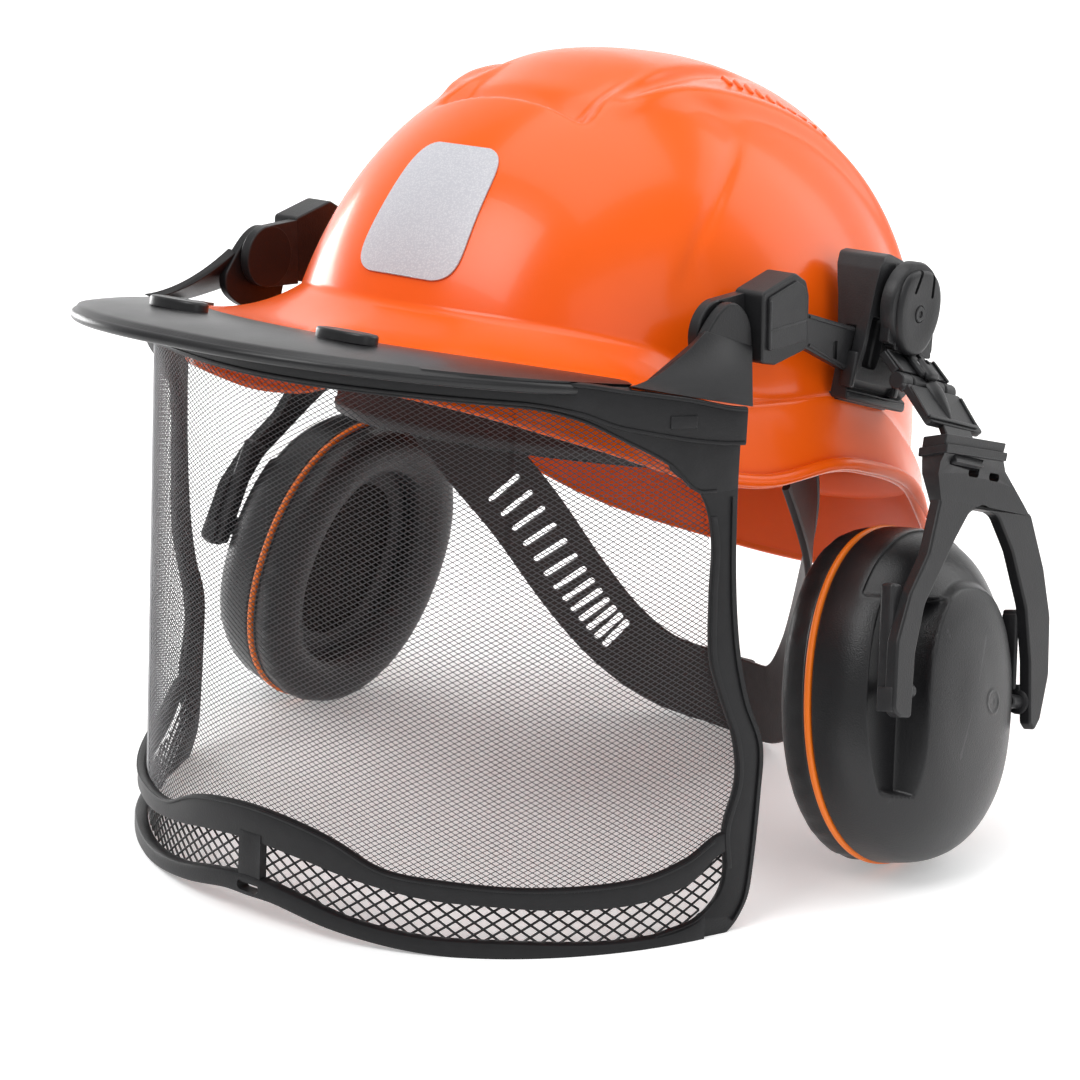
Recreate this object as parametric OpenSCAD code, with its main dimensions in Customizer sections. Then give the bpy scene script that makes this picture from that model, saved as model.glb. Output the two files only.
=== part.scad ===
// Forestry helmet combination: shell with peak, mesh visor and a pair of ear defenders.
// Z up, ground at z = 0, front towards -Y, wearer's left side at +X.

/* [Helmet] */
// Half width of the dome at its widest, mm
dome_a = 102.7; // [98:0.1:106]
// Dome half length towards the forehead, mm
dome_front = 128.3; // [122:0.1:132]
// Dome half length towards the nape, mm
dome_rear = 117.1; // [112:0.1:120]
// Dome height over its widest level, mm
dome_h = 151.6; // [146:0.1:155]
// Wall thickness of the shell, mm
shell_t = 2.6; // [2.2:0.1:3]
// Nose-up pitch of the helmet at rest, degrees
pitch = 11.6; // [11:0.1:12.2]

/* [Visor] */
// Radius of the visor frame's inner side, mm
visor_r = 128.2; // [127.5:0.1:129]
// Backward tilt of the visor at rest, degrees
visor_tilt = 4; // [3:0.1:5]
// Radius of the visor pivot pins, mm
pivot_r = 4; // [3.5:0.1:4.5]

/* [Ear defenders] */
// Half width of a cup, fore and aft, mm
cup_b = 47.6; // [45:0.1:48]
// Half height of a cup, mm
cup_h = 56.5; // [54:0.1:57]
// Wall thickness of a cup, mm
cup_t = 2.6; // [2.2:0.1:3]
// Thickness of the ear cushion, mm
cushion_t = 12; // [10:0.5:12.5]
// Radius of the hub pin, mm
hub_pin_r = 4; // [3.5:0.1:4.5]

/* [Hidden] */
yshift = 11.2;
fit = 0.05;
eps = 0.01;

black = [0.12,0.12,0.13]; orange = [0.95,0.35,0.12];

// ---------- helpers ----------
function flat(l) = [for (a = l) for (b = a) b];
function sgnpow(v, e) = sign(v) * pow(abs(v), e);
function dot2(a, b) = a[0]*b[0] + a[1]*b[1];
function unit(v) = v / norm(v);
// smooth curve through a table of [x, value] rows
function slope(t, i) = i == 0 ? 0 : i == len(t)-1 ? 0 : (t[i+1][1]-t[i-1][1]) / (t[i+1][0]-t[i-1][0]);
function herm(t, i, x) = let (h = t[i+1][0]-t[i][0], u = (x-t[i][0])/h, u2 = u*u, u3 = u2*u)
    (2*u3-3*u2+1)*t[i][1] + (u3-2*u2+u)*h*slope(t, i) + (3*u2-2*u3)*t[i+1][1] + (u3-u2)*h*slope(t, i+1);
function curve(t, x, i = 0) = x <= t[0][0] ? t[0][1] : i >= len(t)-1 ? t[len(t)-1][1] : x <= t[i+1][0] ? herm(t, i, x) : curve(t, x, i+1);
function wrap(a) = a > 180 ? 360 - a : a < 0 ? -a : a;

// a skin over rings of equal length; open ends are capped, closed = true joins the last ring to the first
module skin(rings, closed = false, flip = false) {
    n = len(rings[0]); m = len(rings);
    side = [for (j = [0:(closed ? m-1 : m-2)]) for (i = [0:n-1])
        let (a = j*n+i, b = j*n+(i+1)%n, c = ((j+1)%m)*n+(i+1)%n, d = ((j+1)%m)*n+i) each [[a, b, c], [a, c, d]]];
    caps = closed ? [] : [[for (i = [n-1:-1:0]) i], [for (i = [0:n-1]) (m-1)*n+i]];
    f = concat(side, caps);
    polyhedron(points = flat(rings), faces = flip ? [for (q = f) [for (k = [len(q)-1:-1:0]) q[k]]] : f, convexity = 8);
}
module mir() { mirror([1,0,0]) children(); }
module helm() { translate([0, yshift, 0]) rotate([-pitch, 0, 0]) children(); }
module world() { translate([0, yshift, 0]) children(); }
module xcyl(r, x0, x1, y = 0, z = 0, fn = 40) { translate([x0, y, z]) rotate([0, 90, 0]) cylinder(r = r, h = x1-x0, $fn = fn); }
module yz(x0, x1) { translate([x0, 0, 0]) rotate([90, 0, 90]) linear_extrude(x1-x0) children(); }

// ---------- shell ----------
dome_n = 2.32; dome_m = 2.16; dome_yc = 8.1; dome_zc = 116.1;
rim_z = [[0,153],[20,151],[36,144],[50,136],[60,133.9],[68,134.2],[82,139.4],[91,139.5],[107,134],[118.5,121],[132,106.5],[147,95.5],[165,89.5],[180,87.7]];
gut_z = [[0,165.3],[25,165.2],[40,163.5],[52,160.5],[60,159.3],[70,161],[84,163.6],[98,160.3],[112,148],[125,136.5],[147,124.5],[165,118],[180,116]];
shelf = [[0,38],[16.3,37.4],[29.6,32.6],[37.8,26.5],[47.5,15.5],[57.8,7.7],[70,4],[85,3.2],[100,3.2],[130,4],[180,4.5]];
flare = [[0,1],[30,2],[50,3],[70,3.6],[90,3.8],[120,6],[150,8],[180,8]];
function plan(f) = let (s = abs(sin(f)), c = cos(f), b = c > 0 ? dome_front : dome_rear)
    pow(pow(s/dome_a, dome_m) + pow(abs(c)/b, dome_m), -1/dome_m);
function wall(f, z) = let (q = z - dome_zc) q >= 0 ? plan(f) * pow(max(0, 1 - pow(q/dome_h, dome_n)), 1/dome_n) : plan(f) * (1 - 0.04*q/80);
blend_h = 11;
// profile points [radius, height] from crown to rim for plan angle f (0 = front)
function prof(f, nd = 8) = let (g = wrap(f), zg = curve(gut_z, g), zr = curve(rim_z, g), w = curve(shelf, g), fl = curve(flare, g),
        hb = blend_h*(0.55+0.45*min(1, w/20)), zb = zg + hb, qb = zb - dome_zc,
        pb = asin(pow(min(1, max(0, qb)/dome_h), dome_n/2)), neg = qb < 0)
    concat(
        [for (i = [0:nd]) let (p = 88.6 + (pb-88.6)*i/nd) [plan(g)*pow(cos(p), 2/dome_n), dome_zc + dome_h*pow(sin(p), 2/dome_n)]],
        neg ? [[wall(g, (zb+dome_zc)/2), (zb+dome_zc)/2], [wall(g, zb), zb]] : [[wall(g, zb+0.02)+0.01, zb+0.01], [wall(g, zb)+0.02, zb]],
        [for (i = [1:5]) let (u = i/5, z = zg + hb*pow(1-u, 2.2)) [wall(g, zg + hb*(1-u)) + w*u, z]],
        let (rg = wall(g, zg) + w) [[rg+0.7, zg-0.5], [rg+1, zg-1.6]],
        [for (i = [1:3]) let (v = i/3) [wall(g, zg) + w + 1 + fl*pow(v, 1.3), zg - 1.6 + (zr - zg + 1.6)*v]]);
function nrm2(p, i) = let (a = p[max(0, i-1)], b = p[min(len(p)-1, i+1)], d = unit(b-a)) [-d[1], d[0]];
function inner(p) = [for (i = [0:len(p)-1]) let (n = nrm2(p, i)) i == len(p)-1 ? [p[i][0]-shell_t, p[i][1]] : p[i] + shell_t*n*(-1)];
function pt(f, q) = [q[0]*sin(f), dome_yc - q[0]*cos(f), q[1]];
nf = 56;
module shell_body() {
    P = [for (k = [0:nf-1]) let (f = 360*k/nf, p = prof(f), q = inner(p)) concat(p, [for (i = [len(q)-1:-1:0]) q[i]])];
    n = len(P[0]);
    skin([for (i = [0:n-1]) [for (k = [0:nf-1]) pt(360*k/nf, P[k][i])]]);
}
module shell() color(orange) {
    difference() {
        helm() shell_body();
        for (m = [0, 1]) mirror([m, 0, 0]) side() { translate([98.4, -16.6, -50]) cube([3.6, 33.2, 20]); translate([98.4, -16.6, -35.2]) cube([9, 33.2, 8]); }
    }
}

// ---------- badge: plain rounded reflective patch on the forehead ----------
function badge_pt(u, v, o) = let (x = u*20*(1-0.1*v), z = 207 + v*22, q = z - dome_zc,
        k = pow(1-pow(q/dome_h, dome_n), 1/dome_n), y = dome_yc - dome_front*k*pow(1-pow(abs(x)/(dome_a*k), dome_m), 1/dome_m),
        n = unit([x/dome_a*1.1, -(dome_yc-y)/dome_front, q/dome_h*0.85])) [x, y, z] + n*o;
module front_badge() color([0.8, 0.8, 0.82]) helm() {
    N = 10;
    skin([for (j = [0:N]) let (v = -1 + 2*j/N, s = pow(1-pow(min(0.999, abs(v)*0.985), 5), 0.2))
        concat([for (i = [0:N]) badge_pt((-1+2*i/N)*s, v, 0.55)], [for (i = [N:-1:0]) badge_pt((-1+2*i/N)*s, v, 0.1)])], flip = true);
}

// ---------- harness ----------
hb_a = 77; hb_b = 99; hb_yc = 2;
function hoop(o, n = 48) = [for (k = [0:n-1]) let (t = 360*k/n) [(hb_a+o)*sgnpow(sin(t), 0.95), hb_yc - (hb_b+o)*sgnpow(cos(t), 0.95)]];
module band(o0, o1, z0, z1) { translate([0, 0, z0]) linear_extrude(z1-z0) difference() { polygon(hoop(o1)); polygon(hoop(o0)); } }
module headband() color(black) helm() difference() {
    band(0, 2, 134, 166);
    for (s = [-1, 1]) for (k = [0:2]) translate([s*hb_a, 30+12*k, 150]) cube([16, 5, 12], center = true);
}
module sweatband() color([0.18,0.17,0.17]) helm() intersection() {
    band(-4.2, -0.3, 132.5, 163);
    translate([-120, -120, 100]) cube([240, 112, 100]);
}
// crown straps: two arcs crossing over the head, fused at the crown
function arcpt(a, b, t, ax) = let (x = a*sin(t)) [x*cos(ax), hb_yc + x*sin(ax), 166 + b*cos(t)];
module strap_arc(ax, a, b) {
    d = [-sin(ax), cos(ax), 0];
    skin([for (i = [0:20]) let (t = -90 + 9*i, p = arcpt(a, b, t, ax), q = arcpt(a-1.6, b-1.6, t, ax))
        [p - 9*d, p + 9*d, q + 9*d, q - 9*d]]);
}
module crown_straps() color([0.1, 0.1, 0.11]) helm() { for (ax = [38, 142]) strap_arc(ax, 86.2, 67); }
module crown_pad() color([0.16, 0.16, 0.17]) helm() translate([0, hb_yc, 222.2]) difference() {
    cylinder(r = 32, h = 3.2, $fn = 48); translate([0, 0, -1]) cylinder(r = 7, h = 8, $fn = 32); }
module cradle_anchors() color(black) helm() for (ax = [38, 142, 218, 322]) translate([0, hb_yc, 0]) rotate([0, 0, ax]) anchor();
module anchor() { translate([89, -10, 152]) cube([3, 20, 25]); }

// nape strap: a low band from the headband round the nape
function nape_c(u) = let (s = abs(u), x = curve([[0,0],[0.22,20],[0.42,38],[0.6,52],[0.75,65.5],[0.88,78],[1,85.8]], s),
        y = curve([[0,98],[0.22,96],[0.42,91],[0.6,82],[0.75,69],[0.88,53],[1,33]], s), t = min(max((u+0.12)/0.24, 0), 1),
        z = (1-t)*curve([[0,19.5],[0.22,22.5],[0.42,34],[0.6,54],[0.75,82],[0.88,108],[1,136]], s) + t*curve([[0,19.5],[0.22,19.2],[0.42,22],[0.6,41],[0.75,75],[0.88,106],[1,136]], s))
    [sign(u)*x, y, z];
module nape_strap() color([0.13, 0.12, 0.13]) world() difference() {
    N = 36;
    skin([for (i = [0:N]) let (u = -1+2*i/N, p = nape_c(u), d = unit(nape_c(min(1, u+0.02)) - nape_c(max(-1, u-0.02))),
            o = unit([p[0], p[1]-10, -4]), w = unit(cross(d, o)), nn = unit(cross(w, d)))
        [p + 14.5*w + nn, p - 14.5*w + nn, p - 14.5*w - nn, p + 14.5*w - nn]]);
    for (k = [0:12]) let (u = -0.8+0.032*k, p = nape_c(u), d = unit(nape_c(u+0.02)-nape_c(u-0.02)), o = unit([p[0], p[1]-10, -4]), w = unit(cross(d, o)), nn = unit(cross(w, d)))
        multmatrix([[d[0], w[0], nn[0], p[0]], [d[1], w[1], nn[1], p[1]], [d[2], w[2], nn[2], p[2]], [0, 0, 0, 1]]) cube([2.6, 15, 8], center = true);
}
module nape_buckle() color(black) world() translate(nape_c(0) + [0, 2.2, 0]) rotate([-4, 0, 0]) difference() {
    translate([-19, 0, -12]) cube([38, 4.5, 24]);
    translate([0, 5, 0]) rotate([90, 0, 0]) cylinder(r = 7.5, h = 3.4, $fn = 40, center = true);
}

// ---------- visor (local frame: pivot axis at the origin) ----------
pv = [0, -33, 192];
module visf() { world() translate(pv) rotate([-visor_tilt, 0, 0]) children(); }
vyc = 30; vb = -196;
function vp(r, a, z) = [r*sin(a), vyc - r*cos(a), z];
mesh_hi = [[0,-14.6],[38,-15],[46,-18],[52,-23.5],[59,-32],[63,-40],[66,-56],[68,-92],[70,-105],[72,-114],[74,-122]];
mesh_lo = [[0,-160.6],[7.5,-162],[14,-165.4],[21.5,-172],[30,-173.8],[44,-174.4],[58,-172],[65,-166.6],[71,-158],[74,-146]];
win_top = [[0,-17.8],[38,-18.2],[46,-21.5],[52,-27.5],[59,-35.6],[63.8,-44.5]];
win_bot = [[0,-157.2],[7.5,-158.6],[14,-162],[21.5,-168.8],[30,-170.4],[44,-171],[58,-168.5],[65,-163.3],[71,-156]];
gr_top = [[0,-169],[9,-170.7],[17,-173.8],[27.4,-176.9],[37,-177.6],[47,-178.2],[58,-176.8],[65.4,-171.7],[71.3,-162.4]];
gr_bot = [[0,-180.6],[8,-182.8],[17,-187],[27.6,-189.3],[38.7,-189],[58,-188.6],[67.4,-184],[71,-173.3]];
bot = [[0,-187.9],[5,-188.1],[14,-191.7],[25,-194.5],[35,-195.2],[60,-195.4],[67,-195.4]];
side_in = [[-195.4,58],[-188.6,60],[-184,67],[-173,71],[-155,70.6],[-139,72.3],[-125,71.4],[-111,68.8],[-98,66.8],[-78,66.2],[-59,66],[-44.5,63.8],[-35.6,59]];
side_out = [[-195.4,67],[-190,72],[-182,74.9],[-174,75.9],[-143.5,76.7],[-128,76.5],[-112.6,73.5],[-92.4,71.2],[-61.5,69.8],[-14,69.4]];
module strip(a0, a1, n, lo, hi, r0, r1) {
    skin([for (i = [0:n]) let (a = a0+(a1-a0)*i/n, b = abs(a), l = lo[0] == undef ? lo : curve(lo, b), h = hi[0] == undef ? hi : curve(hi, b))
        [vp(r0, a, l), vp(r1, a, l), vp(r1, a, h), vp(r0, a, h)]]);
}
module post(s, r0, r1, zs) {
    skin([for (z = zs) let (i = curve(side_in, z), o = curve(side_out, z))
        [vp(r0, s*i, z), vp(r1, s*i, z), vp(r1, s*o, z), vp(r0, s*o, z)]], flip = s > 0);
}
module visor_frame() color(black) difference() { visf() frame_shape(); for (z = [-0.4, 0]) translate([0, 0, z]) peak_shape(); }
module frame_shape() difference() {
    union() {
        r0 = visor_r + 0.6; r1 = visor_r + 3.4;
        strip(-69.3, 69.3, 36, win_top, [[0,-12.5],[52,-12.5],[60,-16],[70,-19.5]], r0, r1);
        strip(-71.2, 71.2, 30, gr_top, win_bot, r0, r1);
        strip(-66.8, 66.8, 28, bot, gr_bot, r0-1, r1+0.8);
        for (s = [-1, 1]) post(s, r0, r1, [-195.4,-192,-188,-183,-178,-173,-164,-152,-140,-130,-120,-111,-102,-92,-76,-60,-48,-40,-35,-25,-19.5]);
        strip(-2.1, 2.1, 2, -184, -166, r0, r1);
    }
    rotate([visor_tilt, 0, 0]) translate([-200, -200, -pv[2]-50]) cube([400, 400, 50]);
    rotate([0, 0, 0]) translate([0, vyc-visor_r-6, -187.6]) rotate([90, 0, 0]) translate([0, 0, -12]) hull() { translate([-2.6, 0, 0]) cylinder(r = 1.1, h = 24, $fn = 20); translate([2.6, 0, 0]) cylinder(r = 1.1, h = 24, $fn = 20); }
}
module visor_mesh() color([0.3, 0.3, 0.3]) visf() {
    skin([for (i = [0:40]) let (a = -73.6+147.2*i/40, b = abs(a), l = curve(mesh_lo, b), h = curve(mesh_hi, b))
        [vp(visor_r, a, l), vp(visor_r+0.3, a, l), vp(visor_r+0.3, a, h), vp(visor_r, a, h)]]);
}
module chin_grille() color([0.2, 0.2, 0.2]) visf() for (s = [0, 1]) mirror([s, 0, 0])
    skin([for (i = [0:19]) let (a = 1.2+71.3*i/19) let (l = curve(gr_bot, a)-1.6, h = curve(gr_top, a)+2)
        [vp(visor_r-1.7, a, l), vp(visor_r-0.8, a, l), vp(visor_r-0.8, a, h), vp(visor_r-1.7, a, h)]]);
module brow_band() color(black) difference() { visf() brow_shape(); for (z = [-0.4, 0]) translate([0, 0, z]) peak_shape(); }
module brow_shape() {
    strip(-52, 52, 26, [[0,-16.4],[38,-16.8],[46,-19.4],[52,-23.8]], [[0,-9],[45,-9],[52,-10.9]], visor_r+3.7, visor_r+6.2);
    for (s = [-1, 1]) strip(s < 0 ? -69.4 : 51.9, s < 0 ? -51.9 : 69.4, 5, [[46,-19.4],[52,-23.8],[70,-29.4]], [[46,-9.2],[52,-10.9],[60,-13.4],[70,-17.4]], visor_r+3.7, visor_r+6.2);
}
module visor_ear() {
    x0 = 100.9; x1 = 104.7;
    difference() {
        union() {
            yz(x0, x1) difference() {
                polygon([[-17,-6],[-10.5,3.4],[-5,8.6],[0.5,10.8],[6,9],[11,4],[13,-4],[12,-14],[9,-21],[-6,-19],[-16,-13]]);
            }
            hull() {
                yz(x0, x1) polygon([[-18,-6.5],[10,-16],[9,-21],[-4,-19],[-16,-13]]);
                ear_foot();
            }
        }
        xcyl(pivot_r+fit, 90, 103.9);
    }
}
module ear_foot() {
    for (a = [53, 59, 65, 70.4]) translate(vp(visor_r+1.4, a, -11.6-(a-53)*0.2)) cylinder(r = 0.9, h = 0.8, $fn = 13);
    for (a = [53, 59, 65, 70.4]) translate(vp(visor_r+5, a, -9-(a-53)*0.42)) cylinder(r = 0.9, h = 0.8, $fn = 13);
}
module visor_ear_left() color(black) visf() visor_ear();
module visor_ear_right() color(black) mir() visf() visor_ear();

// ---------- peak ----------
function brim_r(f) = let (g = wrap(f), zg = curve(gut_z, g)) wall(g, zg) + curve(shelf, g);
peak_b = 118; peak_a = 98; peak_yc = -100;
function peak_in(u) = let (f = 39*u/90, r = brim_r(f) + 1.5) [r*sin(f), dome_yc - r*cos(f), curve(gut_z, abs(f))+0.6];
function peak_out(u) = [peak_a*sgnpow(sin(u), 0.9), peak_yc - 6*abs(u)/90 + 0 - (peak_b-6)*pow(cos(u), 0.9), 164.2 - 1.2*cos(u)];
function mixv(a, b, t) = a + (b-a)*t;
module peak() color(black) peak_shape();
module peak_shape() helm() {
    t = 2.4;
    skin([for (i = [0:28]) let (u = -89+178*i/28, a = peak_in(u), b = peak_out(u), c = cos(u), w = norm([b[0]-a[0], b[1]-a[1]]), bow = 0.05*w)
        [a, mixv(a, b, 0.33)+[0,0,bow*0.8], mixv(a, b, 0.66)+[0,0,bow*0.9], mixv(a, b, 0.93)+[0,0,bow*0.2], b+[0,0,-1.4], b+[0,0,-5.2], mixv(a, b, 0.965)+[0,0,-5.8], mixv(a, b, 0.95)+[0,0,-2.8],
         mixv(a, b, 0.66)+[0,0,bow*0.9-t], mixv(a, b, 0.33)+[0,0,bow*0.8-t], a+[0,0,-t]]], flip = true);
}
module peak_clips() color(black) helm() for (s = [-1, 1]) translate([s*36.3, 0, 0]) clip();
module clip() { translate([0, -172.5, 168.3]) rotate([-1, 0, 0]) linear_extrude(1.8) polygon([for (k = [0:23]) [11*sin(k*15), 5.6*cos(k*15)]]); }

// ---------- carriers and visor pins (world frame) ----------
module carrier() {
    difference() {
        union() {
            yz(96, 107.6) polygon([[-19.4,181],[-19.4,203.8],[-1.5,207.6],[4.5,204],[6.2,199],[6.2,181.5],[-12,179.2]]);
            xcyl(11, 96, 100.4, pv[1], pv[2]);
            yz(96, 100.4) polygon([[-33,181.1],[-19,180],[-19,203],[-33,202.9]]);
            yz(104.2, 107.6) polygon([[5,193.5],[27,186],[33,184.2],[33,171.6],[27,170.6],[5,182]]);
        }
        xcyl(pivot_r-0.02, 94, 101, pv[1], pv[2]);
        translate([106.6, 20.5, 175]) cube([3, 2.6, 6]);
    }
}
module carrier_left() color(black) world() carrier();
module carrier_right() color(black) mir() world() carrier();
module visor_pin() { xcyl(pivot_r-0.02, 96.4, 103.7, pv[1], pv[2]); }
module visor_pin_left() color(black) world() visor_pin();
module visor_pin_right() color(black) mir() world() visor_pin();

// ---------- ear defender arm (side frame: origin on the hub line, y along the cup's width) ----------
side_o = [0, 52.7, 188.3]; side_lean = 18;
module side() { world() translate(side_o) rotate([-side_lean, 0, 0]) children(); }
module slanted(p, x0, x1) { yz(x0, x1) polygon(p); }
module muff_base() {
    difference() {
        side() {
            difference() {
                intersection() {
                    slanted([[-18,-34],[-18.6,-10],[-19.6,4],[-19.6,10],[-17.4,14],[-13,15.8],[-4,15],[2,12],[7,4],[13,-12],[20,-34]], 80, 120);
                    translate([0, 60, 0]) rotate([90, 0, 0]) linear_extrude(120) polygon([[103.4,-34],[101.8,-20],[97.6,0],[94.6,10],[90.5,20],[100,20],[109,17.5],[112.4,12],[112.8,-14],[111,-27],[108.2,-30],[109.4,-30.5],[109.4,-34]]);
                }
                xcyl(hub_pin_r-0.02, 80, 130);
                translate([103.9, -40, -12]) cube([4, 22, 1]);
            }
            translate([99.2, -15, -45]) cube([2.2, 30, 12]);
            translate([99.2, -15, -34.6]) cube([6, 30, 2.6]);
        }
        world() yz(103.9, 107.9) polygon([[5,193.8],[27,186.3],[33.4,184.6],[33.4,171.2],[27,170.3],[5,181.7]]);
    }
}
module muff_base_left() color(black) muff_base();
module muff_base_right() color(black) mir() muff_base();
module hub_pin() { side() { xcyl(hub_pin_r-0.02, 98, 119.4); xcyl(6, 119.3, 121); } }
module hub_pin_left() color(black) hub_pin();
module hub_pin_right() color(black) mir() hub_pin();
module hub() { side() difference() {
    union() { xcyl(14.5, 113.4, 118.9, -1, 1, 64); slanted([[-13,-2],[-11.5,-13],[4,-14.9],[17,-13],[14,0]], 113.4, 117.4);
        slanted([[-8,-10],[-7,-14.9],[17,-14.9],[13,-8]], 113.4, 117.4); }
    xcyl(hub_pin_r+fit, 100, 130); } }
module hub_left() color(black) hub();
module hub_right() color(black) mir() hub();
// plate between two lines given as [centre, half width], thickness t along the outward normal
function pl_n(a, b) = let (d = b-a, n = unit([-d[2], 0, d[0]])) n;
module plate(p, q, hp, hq, t) { n = pl_n(p, q);
    skin([[p-[0,hp,0], p+[0,hp,0], p+[0,hp,0]+n*t, p-[0,hp,0]+n*t], [q-[0,hq,0], q+[0,hq,0], q+[0,hq,0]+n*t, q-[0,hq,0]+n*t]], flip = true); }
jA = [114.2, 4.6, -17.4]; jB = [123.2, 6, -24.6];
module arm_plate() { side() difference() {
    union() {
        plate(jA, jB, 15.4, 17, 2.8);
        translate(jB) rotate([90, 0, 0]) cylinder(r = 2.9, h = 20, center = true, $fn = 32);
    }
    translate(jB) rotate([90, 0, 0]) cylinder(r = 1.55, h = 60, center = true, $fn = 32);
    translate(jB) for (s = [-1, 1]) translate([0, s*14, 0]) rotate([90, 0, 0]) cylinder(r = 3.3, h = 7.6, center = true, $fn = 32);
} }
module arm_plate_left() color(black) arm_plate();
module arm_plate_right() color(black) mir() arm_plate();
module flip_pin() { side() translate(jB) rotate([90, 0, 0]) cylinder(r = 1.5, h = 35, center = true, $fn = 32); }
module flip_pin_left() color([0.6,0.6,0.62]) flip_pin();
module flip_pin_right() color([0.6,0.6,0.62]) mir() flip_pin();
jC = [136.2, 8.4, -37.6];
tdir = [0.582, 0, -0.813]; tnor = [0.813, 0, 0.582];
module flip_plate() { side() difference() {
    union() {
        plate(jB+[2.2,0,-2.2], jC, 17, 17, 2.8);
        for (s = [-1, 1]) translate(jB+[0, s*14, 0]) rotate([90, 0, 0]) cylinder(r = 2.9, h = 6.4, center = true, $fn = 32);
        for (s = [-1, 1]) hull() { translate(jB+[0, s*14, 0]) rotate([90, 0, 0]) cylinder(r = 1.6, h = 6.4, center = true, $fn = 24); translate(jB+[3.4, s*14, -2.6]) rotate([90, 0, 0]) cylinder(r = 1, h = 6.4, center = true, $fn = 24); }
        // tongue that enters the yoke's head
        plate(jC-tdir*0.6, jC+tdir*13, 9, 9, 2.4);
    }
    translate(jB) rotate([90, 0, 0]) cylinder(r = 1.55, h = 60, center = true, $fn = 32);
    translate(jB) rotate([90, 0, 0]) cylinder(r = 3.3, h = 21, center = true, $fn = 32);
} }
module flip_plate_left() color(black) flip_plate();
module flip_plate_right() color(black) mir() flip_plate();
module flip_spring() { side() {
    n = pl_n(jA, jB);
    a = mixv(jA, jB, 0.2)+n*3.1; b = mixv(jA, jB, 0.9)+n*3.1;
    skin([for (q = [[a,0],[mixv(a,b,0.5),2.4],[b,2.6]]) [q[0]-[0,4,0]+n*(q[1]*0.2), q[0]+[0,4,0]+n*(q[1]*0.2), q[0]+[0,4,0]+n*(2+q[1]), q[0]-[0,4,0]+n*(2+q[1])]], flip = true);
} }
module flip_spring_left() color(black) flip_spring();
module flip_spring_right() color(black) mir() flip_spring();

// ---------- cup (cup frame: x outwards, y fore and aft, z up the long axis) ----------
cup_c = [136.7, 33, 62.5]; splay = 10.7; lean = 18; toe = 1.6;
module cupf() { world() translate(cup_c) rotate([0, 0, toe]) rotate([0, -splay, 0]) rotate([-lean, 0, 0]) children(); }
cup_k = 2.15; nc = 36;
function oval(x, b, h) = [for (i = [0:nc-1]) let (t = 360*i/nc) [x, b*sgnpow(cos(t), 2/cup_k), h*sgnpow(sin(t), 2/cup_k)]];
// outer profile: [x, inset]
cup_prof = [[-10.8,0.6],[-9.6,0],[-3,0.4],[3,1.6],[9,4.6],[14,9.5],[18,16],[20.8,25],[22.4,40]];
module cup_solid(o) { skin([for (p = cup_prof) oval(p[0]-(p[0] < -9 ? 0 : o*min(1, (p[1]+2)/12)), cup_b-p[1]-o, cup_h-p[1]-o)], flip = true); }
module cup() { cupf() difference() {
    cup_solid(0);
    difference() { translate([0, 0, 0]) skin(concat([oval(-12, cup_b-cup_t, cup_h-cup_t)], [for (p = cup_prof) oval(p[0]-cup_t*min(1, (p[1]+1)/10), cup_b-p[1]-cup_t, cup_h-p[1]-cup_t)]), flip = true);
        for (s = [-1, 1]) translate([7.5, s > 0 ? 30.4 : -70.4, -37]) cube([40, 40, 72]); }
    for (s = [-1, 1]) translate([10.2, s > 0 ? 33 : -73, -34.5]) cube([40, 40, 67]);
    for (s = [-1, 1]) translate([16.6, s*32, 0]) rotate([90, 0, 0]) cylinder(r = 2.9, h = 9, center = true, $fn = 32);
} }
module cup_left() color(black) cup();
module cup_right() color(black) mir() cup();
module cup_ring() { cupf() skin([oval(-13.2, cup_b+0.2, cup_h+0.2), oval(-11.1, cup_b+0.2, cup_h+0.2), oval(-11.1, cup_b-5, cup_h-5), oval(-13.2, cup_b-5, cup_h-5)], closed = true, flip = true); }
module cup_ring_left() color([0.95, 0.5, 0.1]) cup_ring();
module cup_ring_right() color([0.95, 0.5, 0.1]) mir() cup_ring();
module cup_plate() { cupf() skin([oval(-12.9, cup_b-5.3, cup_h-5.3), oval(-11.3, cup_b-5.3, cup_h-5.3), oval(-11.3, 22, 31), oval(-12.9, 22, 31)], closed = true, flip = true); }
module cup_plate_left() color(black) cup_plate();
module cup_plate_right() color(black) mir() cup_plate();
module cup_foam() { cupf() skin([oval(-10.9, 34, 43), oval(-9, 35, 44), oval(0, 35, 44), oval(5, 31, 40)], flip = true); }
module cup_foam_left() color([0.12, 0.12, 0.12]) cup_foam();
module cup_foam_right() color([0.12, 0.12, 0.12]) mir() cup_foam();
cb = [[-13.5,0.2],[-21,0],[-24.4,2],[-25.5,6],[-25.5,12],[-23.6,16.8],[-20,18.6],[-13.5,18.2]];
module cushion() { cupf() skin([for (p = cb) oval(-13.5+(p[0]+13.5)*cushion_t/12, cup_b-0.6-p[1], cup_h-0.6-p[1])], closed = true); }
module cushion_left() color([0.1, 0.1, 0.1]) cushion();
module cushion_right() color([0.1, 0.1, 0.1]) mir() cushion();
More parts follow.
